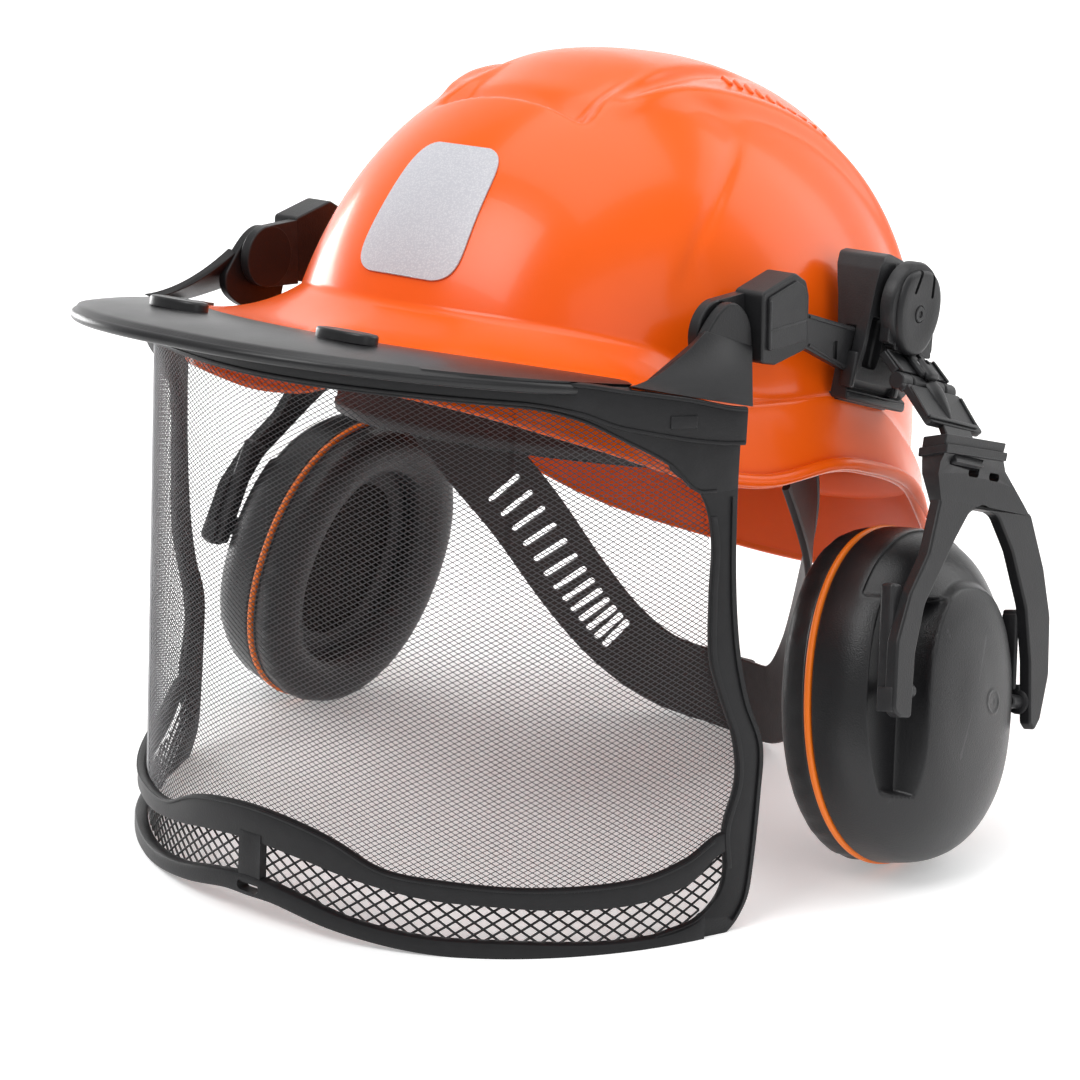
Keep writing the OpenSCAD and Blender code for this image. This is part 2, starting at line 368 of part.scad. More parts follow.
module yoke() { cupf() difference() {
    union() {
        yz(16.9, 21.4) polygon([[-24,64],[-30,45],[-40,31],[-46.4,15],[-46.6,-7],[-43,-9],[-36.4,-9],[-35.6,12],[-31,28],[-14,51],[-6,60.5],[2,63],[12,61],[22,50],[32,32],[36,14],[36.4,-9],[43,-9],[46.6,-6],[49,10],[48.4,30],[43,46],[33,64]]);
        for (s = [-1, 1]) translate([16.6, s*40, 0]) rotate([90, 0, 0]) translate([0, 0, -4]) cylinder(r = 4.2, h = 8, $fn = 40);
        for (s = [-1, 1]) translate([16.6, s*34.2, 0]) rotate([90, 0, 0]) cylinder(r = 2.4, h = 7, center = true, $fn = 32);
        // neck and head
        skin([[[16.9,-24.1,62],[16.9,33,62],[21.4,33,62],[21.4,-24.1,62]], [[14.4,-26,71.4],[14.4,23,71.4],[21,23,71.4],[21,-26,71.4]], [[14.4,-26,77.4],[14.4,9.6,78.6],[23.6,9.6,80],[23.6,-26,78.8]]]);
        skin([[[13.6,-27.4,76.8],[13.6,10.2,78],[24.6,10.2,79.2],[24.6,-27.4,78]], [[15,-27.8,83.6],[15,10.2,84.6],[24.8,10.2,85.4],[24.8,-27.8,84.4]]]);
    }
    neck_cut();
} }
module neck_cut() { for (y = [-13, 3]) translate([10, y-3, 68]) cube([20, 5, 7]); }
module tongue_cut() { side() plate(jC-tdir*8-tnor*0.4, jC+tdir*20-tnor*0.4, 9.4, 9.4, 3.2); }
module yoke_left() color(black) difference() { yoke(); tongue_cut(); }
module yoke_right() color(black) mir() difference() { yoke(); tongue_cut(); }

shell();
front_badge();
headband();
sweatband();
crown_straps();
crown_pad();
cradle_anchors();
nape_strap();
nape_buckle();
visor_frame();
visor_mesh();
chin_grille();
brow_band();
visor_ear_left();
visor_ear_right();
peak();
peak_clips();
carrier_left();
carrier_right();
visor_pin_left();
visor_pin_right();
muff_base_left();
muff_base_right();
hub_left();
hub_right();
hub_pin_left();
hub_pin_right();
arm_plate_left();
arm_plate_right();
flip_pin_left();
flip_pin_right();
flip_plate_left();
flip_plate_right();
flip_spring_left();
flip_spring_right();
yoke_left();
yoke_right();
cup_left();
cup_right();
cup_ring_left();
cup_ring_right();
cup_plate_left();
cup_plate_right();
cup_foam_left();
cup_foam_right();
cushion_left();
cushion_right();
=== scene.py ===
# Looks for the forestry helmet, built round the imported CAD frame. Lengths below are in mm until they become vertices.
import bpy, bmesh, math
import numpy as np
from mathutils import Matrix, Vector

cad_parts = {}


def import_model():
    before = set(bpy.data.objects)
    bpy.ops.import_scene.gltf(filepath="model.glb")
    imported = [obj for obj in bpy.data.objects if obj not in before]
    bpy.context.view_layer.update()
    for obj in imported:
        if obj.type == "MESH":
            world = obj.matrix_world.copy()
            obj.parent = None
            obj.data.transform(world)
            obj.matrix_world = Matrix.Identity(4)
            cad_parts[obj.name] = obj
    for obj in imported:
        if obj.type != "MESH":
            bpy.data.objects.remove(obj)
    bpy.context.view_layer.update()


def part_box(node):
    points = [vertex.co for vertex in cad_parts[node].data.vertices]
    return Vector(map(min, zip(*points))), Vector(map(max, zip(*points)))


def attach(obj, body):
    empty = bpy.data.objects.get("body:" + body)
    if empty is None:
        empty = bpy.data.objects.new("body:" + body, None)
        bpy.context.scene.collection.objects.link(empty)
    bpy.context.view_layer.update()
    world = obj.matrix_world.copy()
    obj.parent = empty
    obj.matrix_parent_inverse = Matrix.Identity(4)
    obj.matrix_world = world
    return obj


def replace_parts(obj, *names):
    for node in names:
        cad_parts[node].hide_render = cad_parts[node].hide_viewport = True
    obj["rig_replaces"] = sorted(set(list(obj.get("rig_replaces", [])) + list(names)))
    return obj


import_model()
MM = 0.001
rng = np.random.default_rng(7)


# ------------------------------------------------------------------ frames
def m4(r=None, t=(0, 0, 0)):
    m = np.eye(4)
    if r is not None:
        m[:3, :3] = r
    m[:3, 3] = t
    return m


def rx(a):
    a = math.radians(a)
    return m4(np.array([[1, 0, 0], [0, math.cos(a), -math.sin(a)], [0, math.sin(a), math.cos(a)]]))


def ry(a):
    a = math.radians(a)
    return m4(np.array([[math.cos(a), 0, math.sin(a)], [0, 1, 0], [-math.sin(a), 0, math.cos(a)]]))


def rz(a):
    a = math.radians(a)
    return m4(np.array([[math.cos(a), -math.sin(a), 0], [math.sin(a), math.cos(a), 0], [0, 0, 1]]))


def tr(x, y, z):
    return m4(t=(x, y, z))


pin_lo, pin_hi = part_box("visor_pin_left")
YS = (pin_lo.y + pin_hi.y) / 2 / MM + 33.0
WORLD = tr(0, YS, 0)
HELM = WORLD @ rx(-11.6)
VISF = WORLD @ tr(0, -33, 192) @ rx(-4)
SIDE = WORLD @ tr(0, 52.7, 188.3) @ rx(-18)
CUPF = WORLD @ tr(136.7, 33, 62.5) @ rz(1.6) @ ry(-10.7) @ rx(-18)
MIR = np.diag([-1.0, 1, 1, 1])
SIDES = (("left", np.eye(4)), ("right", MIR))


def put(m, v):
    v = np.asarray(v, float)
    return v @ m[:3, :3].T + m[:3, 3]


# ------------------------------------------------------------------ small maths
def slope(t, i):
    return 0.0 if i == 0 or i == len(t) - 1 else (t[i + 1][1] - t[i - 1][1]) / (t[i + 1][0] - t[i - 1][0])


def curve1(t, x):
    if x <= t[0][0]:
        return t[0][1]
    if x >= t[-1][0]:
        return t[-1][1]
    for i in range(len(t) - 1):
        if x <= t[i + 1][0]:
            h = t[i + 1][0] - t[i][0]
            u = (x - t[i][0]) / h
            return ((2 * u**3 - 3 * u * u + 1) * t[i][1] + (u**3 - 2 * u * u + u) * h * slope(t, i)
                    + (3 * u * u - 2 * u**3) * t[i + 1][1] + (u**3 - u * u) * h * slope(t, i + 1))


def curve(t, x):
    return np.array([curve1(t, v) for v in np.atleast_1d(x)]) if np.ndim(x) else curve1(t, x)


def sstep(x):
    x = np.clip(x, 0, 1)
    return x * x * (3 - 2 * x)


def spw(v, e):
    return np.sign(v) * np.abs(v) ** e


# ------------------------------------------------------------------ mesh helpers: a part is (vertices, faces)
def skin(rings, closed=False, caps=True, wrap=True):
    rings = np.asarray(rings, float)
    m, n = rings.shape[:2]
    f = []
    for j in range(m if closed else m - 1):
        a, b = j * n, ((j + 1) % m) * n
        for i in range(n if wrap else n - 1):
            k = (i + 1) % n
            f.append((a + i, a + k, b + k, b + i))
    if caps and not closed:
        f.append(tuple(range(n - 1, -1, -1)))
        f.append(tuple((m - 1) * n + i for i in range(n)))
    return rings.reshape(-1, 3), f


def join(*parts):
    V, F, o = [], [], 0
    for v, f in parts:
        V.append(np.asarray(v, float))
        F += [tuple(i + o for i in q) for q in f]
        o += len(v)
    return np.concatenate(V), F


def fillet(poly, r, n=5):
    """rounds the corners of a polygon; r is one radius or one for each corner"""
    P = [np.array(p, float) for p in poly]
    R = [r] * len(P) if np.isscalar(r) else list(r)
    out = []
    for i, p in enumerate(P):
        a, b = P[i - 1], P[(i + 1) % len(P)]
        u, v = a - p, b - p
        lu, lv = np.linalg.norm(u), np.linalg.norm(v)
        u, v = u / lu, v / lv
        c = np.clip(u @ v, -1, 1)
        ang = math.acos(c)
        if R[i] <= 0 or ang > 3.05:
            out.append(p)
            continue
        d = min(R[i] / math.tan(ang / 2), 0.45 * lu, 0.45 * lv)
        p0, p1 = p + u * d, p + v * d
        for k in range(n + 1):
            t = k / n
            out.append((1 - t) ** 2 * p0 + 2 * t * (1 - t) * p + t * t * p1)
    return np.array(out)


def prism(poly, x0, x1):
    """polygon in YZ, from x0 to x1"""
    poly = np.asarray(poly, float)
    n = len(poly)
    a = np.column_stack([np.full(n, x0), poly])
    b = np.column_stack([np.full(n, x1), poly])
    return skin([a, b])


def zprism(poly, z0, z1):
    v, f = prism(poly, z0, z1)
    return v[:, [1, 2, 0]], f


def xform(m, part):
    return put(m, part[0]), part[1]


def rbox(c, s, r=0.6, n=3, rot=None):
    """a box with rounded edges and corners: centre, size, radius"""
    bm = bmesh.new()
    bmesh.ops.create_cube(bm, size=1.0)
    for v in bm.verts:
        v.co = Vector((v.co.x * s[0], v.co.y * s[1], v.co.z * s[2]))
    bmesh.ops.bevel(bm, geom=list(bm.edges), offset=min(r, min(s) * 0.45), segments=n, profile=0.5, affect="EDGES")
    bm.verts.index_update()
    v = np.array([x.co for x in bm.verts])
    f = [tuple(x.index for x in q.verts) for q in bm.faces]
    bm.free()
    if rot is not None:
        v = put(rot, v)
    return v + np.array(c, float), f


def lathe(prof, n=48, axis="x", c=(0, 0, 0)):
    """[along, radius] turned round an axis through c; closed at both ends"""
    t = np.linspace(0, 2 * np.pi, n, endpoint=False)
    rings = []
    for a, r in prof:
        r = max(r, 0.01)
        u, v, w = np.full(n, a), r * np.cos(t), r * np.sin(t)
        rings.append(np.column_stack({"x": (u, v, w), "y": (w, u, v), "z": (v, w, u)}[axis]))
    v, f = skin(rings)
    return v + np.array(c, float), f


def ring_lathe(prof, n=48, axis="x", c=(0, 0, 0)):
    t = np.linspace(0, 2 * np.pi, n, endpoint=False)
    rings = []
    for a, r in prof:
        u, v, w = np.full(n, a), r * np.cos(t), r * np.sin(t)
        rings.append(np.column_stack({"x": (u, v, w), "y": (w, u, v), "z": (v, w, u)}[axis]))
    v, f = skin(rings, closed=True)
    return v + np.array(c, float), f


def tube(path, r, n=8, closed=False):
    P = np.asarray(path, float)
    m = len(P)
    T = np.roll(P, -1, 0) - np.roll(P, 1, 0) if closed else np.gradient(P, axis=0)
    T /= np.linalg.norm(T, axis=1)[:, None]
    up = np.array([0.0, 0, 1]) if abs(T[0, 2]) < 0.9 else np.array([1.0, 0, 0])
    N = np.cross(T[0], up)
    rings = []
    for i in range(m):
        N = N - T[i] * (N @ T[i])
        N /= np.linalg.norm(N)
        B = np.cross(T[i], N)
        rr = r if np.isscalar(r) else r[i]
        a = np.linspace(0, 2 * np.pi, n, endpoint=False)
        rings.append(P[i] + rr * (np.cos(a)[:, None] * N + np.sin(a)[:, None] * B))
    return skin(rings, closed=closed)


MATS = {}


def obj(name, part, body, mat, rep=(), m=None, bevel=0.0, seg=2, angle=38, smooth=38, subsurf=0, fix=True, wn=False):
    v, f = part
    if m is not None:
        v = put(m, v)
    me = bpy.data.meshes.new(name)
    me.from_pydata((np.asarray(v) * MM).tolist(), [], f)
    me.validate()
    if fix:
        bm = bmesh.new()
        bm.from_mesh(me)
        bmesh.ops.recalc_face_normals(bm, faces=bm.faces)
        bm.to_mesh(me)
        bm.free()
    for p in me.polygons:
        p.use_smooth = True
    o = bpy.data.objects.new(name, me)
    bpy.context.scene.collection.objects.link(o)
    me.materials.append(MATS[mat])
    if subsurf:
        s = o.modifiers.new("sub", "SUBSURF")
        s.levels = s.render_levels = subsurf
    if bevel:
        b = o.modifiers.new("bevel", "BEVEL")
        b.width = bevel * MM
        b.segments = seg
        b.limit_method = "ANGLE"
        b.angle_limit = math.radians(angle)
        b.harden_normals = True
        b.use_clamp_overlap = True
    if smooth is not None and not subsurf:
        me.set_sharp_from_angle(angle=math.radians(smooth))
    if wn:
        w = o.modifiers.new("wn", "WEIGHTED_NORMAL")
        w.keep_sharp = True
    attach(o, body)
    if rep:
        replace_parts(o, *rep)
    return o


def cut(o, cutters, m=None):
    """exact boolean difference, applied to the mesh before its bevels"""
    keep = [(x.name, x.type) for x in o.modifiers]
    v, f = join(*cutters)
    if m is not None:
        v = put(m, v)
    me = bpy.data.meshes.new("cutter")
    me.from_pydata((v * MM).tolist(), [], f)
    bm = bmesh.new()
    bm.from_mesh(me)
    bmesh.ops.recalc_face_normals(bm, faces=bm.faces)
    bm.to_mesh(me)
    bm.free()
    c = bpy.data.objects.new("cutter", me)
    bpy.context.scene.collection.objects.link(c)
    tmp = bpy.data.objects.new("tmpcut", o.data.copy())
    bpy.context.scene.collection.objects.link(tmp)
    b = tmp.modifiers.new("b", "BOOLEAN")
    b.operation, b.solver, b.object = "DIFFERENCE", "EXACT", c
    b.use_self = True
    dg = bpy.context.evaluated_depsgraph_get()
    new = bpy.data.meshes.new_from_object(tmp.evaluated_get(dg))
    mats = [x for x in o.data.materials]
    o.data = new
    o.data.materials.clear()
    for x in mats:
        o.data.materials.append(x)
    for p in o.data.polygons:
        p.use_smooth = True
    o.data.set_sharp_from_angle(angle=math.radians(38))
    bpy.data.objects.remove(tmp)
    bpy.data.objects.remove(c)
    return o


# ------------------------------------------------------------------ materials
def mat(name, base, rough=0.5, bump=None, noise=None, metal=0.0, coat=0.0, coat_r=0.1, sheen=0.0, spec=0.5, sss=0.0,
        sss_col=None, edge=None, rvar=0.06, cvar=0.0, extra=None, trans=0.0, ior=1.46):
    """moulded material: a noise drives colour and roughness a little, another gives the grain"""
    m = bpy.data.materials.new(name)
    m.use_nodes = True
    nt = m.node_tree
    N, Lk = nt.nodes, nt.links
    bs = N["Principled BSDF"]
    tc = N.new("ShaderNodeTexCoord")
    bs.inputs["Metallic"].default_value = metal
    bs.inputs["IOR"].default_value = ior
    bs.inputs["Coat Weight"].default_value = coat
    bs.inputs["Coat Roughness"].default_value = coat_r
    bs.inputs["Specular IOR Level"].default_value = spec
    bs.inputs["Sheen Weight"].default_value = sheen
    if sss:
        bs.inputs["Subsurface Weight"].default_value = sss
        bs.inputs["Subsurface Radius"].default_value = sss_col or (1, 0.3, 0.1)
        bs.inputs["Subsurface Scale"].default_value = 0.004
    n1 = N.new("ShaderNodeTexNoise")
    n1.inputs["Scale"].default_value = 55
    n1.inputs["Detail"].default_value = 6
    Lk.new(tc.outputs["Object"], n1.inputs["Vector"])
    r = N.new("ShaderNodeMapRange")
    r.inputs["To Min"].default_value = max(0.02, rough - rvar)
    r.inputs["To Max"].default_value = min(1, rough + rvar)
    Lk.new(n1.outputs["Fac"], r.inputs["Value"])
    Lk.new(r.outputs["Result"], bs.inputs["Roughness"])
    mix = N.new("ShaderNodeMix")
    mix.data_type = "RGBA"
    b = np.array(base)
    mix.inputs["A"].default_value = (*np.clip(b * (1 - cvar), 0, 1), 1)
    mix.inputs["B"].default_value = (*np.clip(b * (1 + cvar), 0, 1), 1)
    Lk.new(n1.outputs["Fac"], mix.inputs["Factor"])
    col = mix.outputs["Result"]
    if edge:
        # painted highlight: convex edges (found by pointiness, broken up by noise) are made lighter to stand in for
        # highlights along the edges
        g = N.new("ShaderNodeNewGeometry")
        edge_highlight_mask = N.new("ShaderNodeMapRange")
        edge_highlight_mask.inputs["From Min"].default_value = 0.52
        edge_highlight_mask.inputs["From Max"].default_value = 0.62
        Lk.new(g.outputs["Pointiness"], edge_highlight_mask.inputs["Value"])
        n2 = N.new("ShaderNodeTexNoise")
        n2.inputs["Scale"].default_value = 240
        n2.inputs["Detail"].default_value = 4
        Lk.new(tc.outputs["Object"], n2.inputs["Vector"])
        mu = N.new("ShaderNodeMath")
        mu.operation = "MULTIPLY"
        Lk.new(edge_highlight_mask.outputs["Result"], mu.inputs[0])
        Lk.new(n2.outputs["Fac"], mu.inputs[1])
        mx = N.new("ShaderNodeMix")
        mx.data_type = "RGBA"
        Lk.new(mu.outputs[0], mx.inputs["Factor"])
        Lk.new(col, mx.inputs["A"])
        mx.inputs["B"].default_value = (*edge, 1)
        col = mx.outputs["Result"]
    Lk.new(col, bs.inputs["Base Color"])
    hgt = None
    if noise:
        sc, st, dist = noise
        n3 = N.new("ShaderNodeTexNoise")
        n3.inputs["Scale"].default_value = sc
        n3.inputs["Detail"].default_value = 3
        Lk.new(tc.outputs["Object"], n3.inputs["Vector"])
        bp = N.new("ShaderNodeBump")
        bp.inputs["Strength"].default_value = st
        bp.inputs["Distance"].default_value = dist
        Lk.new(n3.outputs["Fac"], bp.inputs["Height"])
        Lk.new(bp.outputs["Normal"], bs.inputs["Normal"])
        hgt = bp
    MATS[name] = m
    if extra:
        extra(nt, bs, tc, hgt, col)
    return m


def leather(nt, bs, tc, bump, col):
    v = nt.nodes.new("ShaderNodeTexVoronoi")
    v.feature = "DISTANCE_TO_EDGE"
    v.inputs["Scale"].default_value = 900
    nt.links.new(tc.outputs["Object"], v.inputs["Vector"])
    b = nt.nodes.new("ShaderNodeBump")
    b.inputs["Strength"].default_value = 0.25
    b.inputs["Distance"].default_value = 0.0003
    nt.links.new(v.outputs["Distance"], b.inputs["Height"])
    nt.links.new(bump.outputs["Normal"], b.inputs["Normal"])
    nt.links.new(b.outputs["Normal"], bs.inputs["Normal"])


def cells(scale, dark, strength=0.6, dist=0.0008):
    def f(nt, bs, tc, bump, col):
        v = nt.nodes.new("ShaderNodeTexVoronoi")
        v.inputs["Scale"].default_value = scale
        nt.links.new(tc.outputs["Object"], v.inputs["Vector"])
        b = nt.nodes.new("ShaderNodeBump")
        b.inputs["Strength"].default_value = strength
        b.inputs["Distance"].default_value = dist
        nt.links.new(v.outputs["Distance"], b.inputs["Height"])
        nt.links.new(bump.outputs["Normal"], b.inputs["Normal"])
        nt.links.new(b.outputs["Normal"], bs.inputs["Normal"])
        r = nt.nodes.new("ShaderNodeMapRange")
        r.inputs["From Max"].default_value = 0.6
        nt.links.new(v.outputs["Distance"], r.inputs["Value"])
        mx = nt.nodes.new("ShaderNodeMix")
        mx.data_type = "RGBA"
        nt.links.new(r.outputs["Result"], mx.inputs["Factor"])
        nt.links.new(col, mx.inputs["A"])
        mx.inputs["B"].default_value = (*dark, 1)
        nt.links.new(mx.outputs["Result"], bs.inputs["Base Color"])
    return f


def weave(scale):
    def f(nt, bs, tc, bump, col):
        mp = nt.nodes.new("ShaderNodeMapping")
        mp.inputs["Rotation"].default_value = (0, 0, math.radians(38))
        nt.links.new(tc.outputs["Object"], mp.inputs["Vector"])
        hs = []
        for d in ("X", "Z"):
            w = nt.nodes.new("ShaderNodeTexWave")
            w.bands_direction = d
            w.inputs["Scale"].default_value = scale
            w.inputs["Distortion"].default_value = 0.4
            nt.links.new(mp.outputs["Vector"], w.inputs["Vector"])
            hs.append(w)
        mu = nt.nodes.new("ShaderNodeMath")
        mu.operation = "MULTIPLY"
        nt.links.new(hs[0].outputs["Fac"], mu.inputs[0])
        nt.links.new(hs[1].outputs["Fac"], mu.inputs[1])
        b = nt.nodes.new("ShaderNodeBump")
        b.inputs["Strength"].default_value = 0.44
        b.inputs["Distance"].default_value = 0.0004
        nt.links.new(mu.outputs[0], b.inputs["Height"])
        nt.links.new(bump.outputs["Normal"], b.inputs["Normal"])
        nt.links.new(b.outputs["Normal"], bs.inputs["Normal"])
    return f


mat("shell_orange", (0.86, 0.106, 0.003), rough=0.24, noise=(420, 0.05, 0.0004), coat=0.1, coat_r=0.04, rvar=0.03, cvar=0.03,
    sss=0.02, sss_col=(1, 0.25, 0.05), spec=0.34)
mat("shell_inner", (0.88, 0.10, 0.005), spec=0.3, rough=0.42, noise=(900, 0.12, 0.0004), rvar=0.05, cvar=0.05, sss=0.1, sss_col=(1, 0.25, 0.05))
mat("badge_film", (0.62, 0.62, 0.64), rough=0.4, noise=(300, 0.05, 0.0003), rvar=0.05, cvar=0.03, extra=cells(1500, (0.48, 0.48, 0.52), 0.2, 0.0002), spec=0.6)
# the edge colours below are painted highlights along convex edges
mat("black_abs", (0.0105, 0.0105, 0.0115), spec=0.36, rough=0.40, noise=(1600, 0.18, 0.0004), rvar=0.07, cvar=0.12, edge=(0.05, 0.05, 0.052))
mat("peak_black", (0.012, 0.012, 0.013), spec=0.42, rough=0.33, noise=(1300, 0.12, 0.0004), rvar=0.05, cvar=0.1, edge=(0.045, 0.045, 0.047))
mat("frame_black", (0.0085, 0.0085, 0.0095), spec=0.3, rough=0.44, noise=(1400, 0.16, 0.0004), rvar=0.07, cvar=0.12, edge=(0.04, 0.04, 0.042))
mat("cup_black", (0.010, 0.010, 0.011), spec=0.5, rough=0.33, noise=(1900, 0.25, 0.0005), rvar=0.06, cvar=0.12, edge=(0.045, 0.045, 0.048))
mat("strap_plastic", (0.026, 0.018, 0.018), rough=0.5, noise=(1000, 0.15, 0.0005), rvar=0.07, cvar=0.15, edge=(0.06, 0.05, 0.05))
mat("web_weave", (0.02, 0.02, 0.022), rough=0.85, noise=(2000, 0.3, 0.0006), rvar=0.05, cvar=0.2, sheen=0.15, extra=weave(620))
mat("sweat_cloth", (0.03, 0.026, 0.025), rough=0.9, noise=(1600, 0.35, 0.0007), rvar=0.05, cvar=0.2, sheen=0.25, extra=cells(520, (0.008, 0.008, 0.008), 0.6, 0.001))
mat("mesh_steel", (0.10, 0.10, 0.105), rough=0.42, noise=(2500, 0.2, 0.0003), metal=0.75, rvar=0.08, cvar=0.15)
mat("grille_plastic", (0.02, 0.02, 0.021), rough=0.4, noise=(1500, 0.15, 0.0004), rvar=0.06, cvar=0.1, edge=(0.06, 0.06, 0.06))
mat("pin_steel", (0.34, 0.34, 0.35), rough=0.34, noise=(900, 0.08, 0.0003), metal=1.0, rvar=0.08, cvar=0.06)
mat("ring_orange", (0.90, 0.19, 0.010), rough=0.38, noise=(1200, 0.12, 0.0003), rvar=0.05, cvar=0.04, sss=0.08)
mat("foam_dark", (0.035, 0.027, 0.023), rough=0.95, noise=(1500, 0.4, 0.001), rvar=0.04, cvar=0.25, extra=cells(650, (0.005, 0.004, 0.004), 0.9, 0.0016))
mat("cushion_skin", (0.013, 0.013, 0.014), rough=0.4, noise=(260, 0.22, 0.0008), rvar=0.06, cvar=0.15, extra=leather)

# ------------------------------------------------------------------ shell
A_, BF, BR, DH, DN, DM, YC, ZC, TH, BH = 102.7, 128.3, 117.1, 151.6, 2.32, 2.16, 8.1, 116.1, 2.6, 11.0
rim_z = [[0,153],[20,151],[36,144],[50,136],[60,133.9],[68,134.2],[82,139.4],[91,139.5],[107,134],[118.5,121],[132,106.5],[147,95.5],[165,89.5],[180,87.7]]
gut_z = [[0,165.3],[25,165.2],[40,163.5],[52,160.5],[60,159.3],[70,161],[84,163.6],[98,160.3],[112,148],[125,136.5],[147,124.5],[165,118],[180,116]]
shelf = [[0,38],[16.3,37.4],[29.6,32.6],[37.8,26.5],[47.5,15.5],[57.8,7.7],[70,4],[85,3.2],[100,3.2],[130,4],[180,4.5]]
flare = [[0,1],[30,2],[50,3],[70,3.6],[90,3.8],[120,6],[150,8],[180,8]]


def plan(f):
    s, c = abs(math.sin(f)), math.cos(f)
    b = BF if c > 0 else BR
    return ((s / A_) ** DM + (abs(c) / b) ** DM) ** (-1 / DM)


def wall(f, z):
    q = z - ZC
    return plan(f) * max(0, 1 - (q / DH) ** DN) ** (1 / DN) if q >= 0 else plan(f) * (1 - 0.04 * q / 80)


def prof(deg, nd, nb=14, ns=12):
    g = 360 - deg if deg > 180 else deg
    f = math.radians(g)
    zg, zr, w, fl = (curve1(t, g) for t in (gut_z, rim_z, shelf, flare))
    hb = BH * (0.55 + 0.45 * min(1, w / 20))
    zb = zg + hb
    qb = zb - ZC
    pb = math.asin(min(1, max(0.0, qb) / DH) ** (DN / 2))
    P = []
    for i in range(nd + 1):
        p = math.radians(89.7) + (pb - math.radians(89.7)) * i / nd
        P.append((plan(f) * math.cos(p) ** (2 / DN), ZC + DH * math.sin(p) ** (2 / DN)))
    n0 = len(P)
    for i in range(1, nb + 1):
        u = i / nb
        P.append((wall(f, zg + hb * (1 - u)) + w * u, zg + hb * (1 - u) ** 2.2))
    rg = wall(f, zg) + w
    P += [(rg + 0.45, zg - 0.2), (rg + 0.8, zg - 0.8), (rg + 1.0, zg - 1.6)]
    for i in range(1, ns + 1):
        v = i / ns
        P.append((rg + 1 + fl * v**1.3, zg - 1.6 + (zr - zg + 1.6) * v))
    return np.array(P), n0


crest = [[-61, 33], [-50, 36.6], [-10, 47.6], [22, 56.6], [46, 65.2], [80, 74], [110, 76]]


def relief(x, y):
    """height added to the dome, mm: forehead lobe edge, crown scoop, spine edges and the two diverging crests"""
    ax = np.abs(x)
    edge = sstep((y + 67.5) / 3.2)
    scoop = edge * (1 - sstep((ax - 25) / 9)) * (1 - sstep((y + 56) / 34))
    h = -4.2 * scoop
    lobe = -0.0 * edge
    cx = curve(crest, np.clip(y, -61, 110))
    d = ax - cx
    fade = sstep((y + 64) / 14) * (1 - sstep((y - 88) / 25))
    h = h + 2.0 * fade * np.exp(-(d / 5.0) ** 2) + 1.1 * fade * (1 - sstep((d + 1) / 9))
    inner = 31.5 - 0.08 * np.clip(y + 35, 0, 200)
    e = ax - inner
    fi = sstep((y + 62) / 8) * (1 - sstep((y - 4) / 26))
    h = h - 1.5 * fi * np.exp(-((e - 3) / 3.4) ** 2) + 0.9 * fi * (1 - sstep((e + 2) / 3))
    # soft fold down the side from the notch
    px = np.clip(ax, 40, 76)
    fy = -20 - 0.055 * (px - 56) ** 2 * np.where(px > 56, 1.7, 1.0)
    fs = sstep((ax - 38) / 8) * (1 - sstep((ax - 80) / 14))
    h = h - 0.9 * fs * np.exp(-((y - fy) / 7.0) ** 2)
    return h + lobe


NF = 400
ND = 110
degs = np.arange(NF) * 360.0 / NF
cols_o, cols_i = [], []
for dg in degs:
    P, n0 = prof(dg, ND)
    d = np.gradient(P, axis=0)
    d /= np.linalg.norm(d, axis=1)[:, None]
    nrm = np.column_stack([-d[:, 1], d[:, 0]])
    Q = P - TH * nrm
    Q[-1] = [P[-1, 0] - TH, P[-1, 1]]
    f = math.radians(dg)
    x, y = P[:, 0] * math.sin(f), YC - P[:, 0] * math.cos(f)
    h = relief(x, y) * sstep((P[:, 1] - 178) / 24)
    P = P + nrm * h[:, None]
    Q = Q + nrm * (h * 0.9)[:, None]
    # rolled rim
    a, b = P[-1], Q[-1]
    mid, rad = (a + b) / 2, TH / 2 + 0.35
    roll = [mid + np.array([rad * math.cos(t), -abs(rad) * math.sin(t) * 0.9]) for t in np.linspace(0, math.pi, 9)]
    cols_o.append(np.vstack([P[:-1], roll[:5]]))
    cols_i.append(np.vstack([roll[5:], Q[:-1][::-1]]))
P = np.stack([np.vstack([o, i]) for o, i in zip(cols_o, cols_i)], 1)  # rows x NF x 2
fr = np.radians(degs)[None, :]
V = np.stack([P[..., 0] * np.sin(fr), YC - P[..., 0] * np.cos(fr), P[..., 1]], -1)
shell = obj("shell_skin", skin(V), "root", "shell_orange", ["shell"], HELM, smooth=50)
shell.data.materials.append(MATS["shell_inner"])
nrow = len(cols_o[0])
for i, p in enumerate(shell.data.polygons):
    if i < (len(V) - 1) * NF and i // NF >= nrow + 4:
        p.material_index = 1


def dome(x, y):
    b = np.where(y < YC, BF, BR)
    k = np.clip((np.abs(x) / A_) ** DM + (np.abs(y - YC) / b) ** DM, 0, 1) ** (1 / DM)
    return ZC + DH * (1 - k**DN) ** (1 / DN) + relief(np.atleast_1d(x), np.atleast_1d(y))[0]


# vent louvres between spine and crest, one row on each side
lou = []
for k in range(10):
    t = k / 9
    x0, y0 = 37.5 + 20.5 * t, 2 + 31 * t
    for s in (-1, 1):
        c = np.array([s * x0, y0, dome(x0, y0) - 0.35])
        gx = (dome(x0 + 1, y0) - dome(x0 - 1, y0)) / 2
        gy = (dome(x0, y0 + 1) - dome(x0, y0 - 1)) / 2
        n = np.array([-s * gx, -gy, 1.0]); n /= np.linalg.norm(n)
        u = np.array([s * 0.86, -0.5, 0]); u -= n * (u @ n); u /= np.linalg.norm(u)
        w = np.cross(n, u)
        R = m4(np.column_stack([u, w, n]))
        lou.append(rbox(c, (8.2 - 0.15 * k, 1.9, 2.4), 0.6, 3, R))
obj("shell_louvres", join(*lou), "root", "shell_orange", m=HELM)
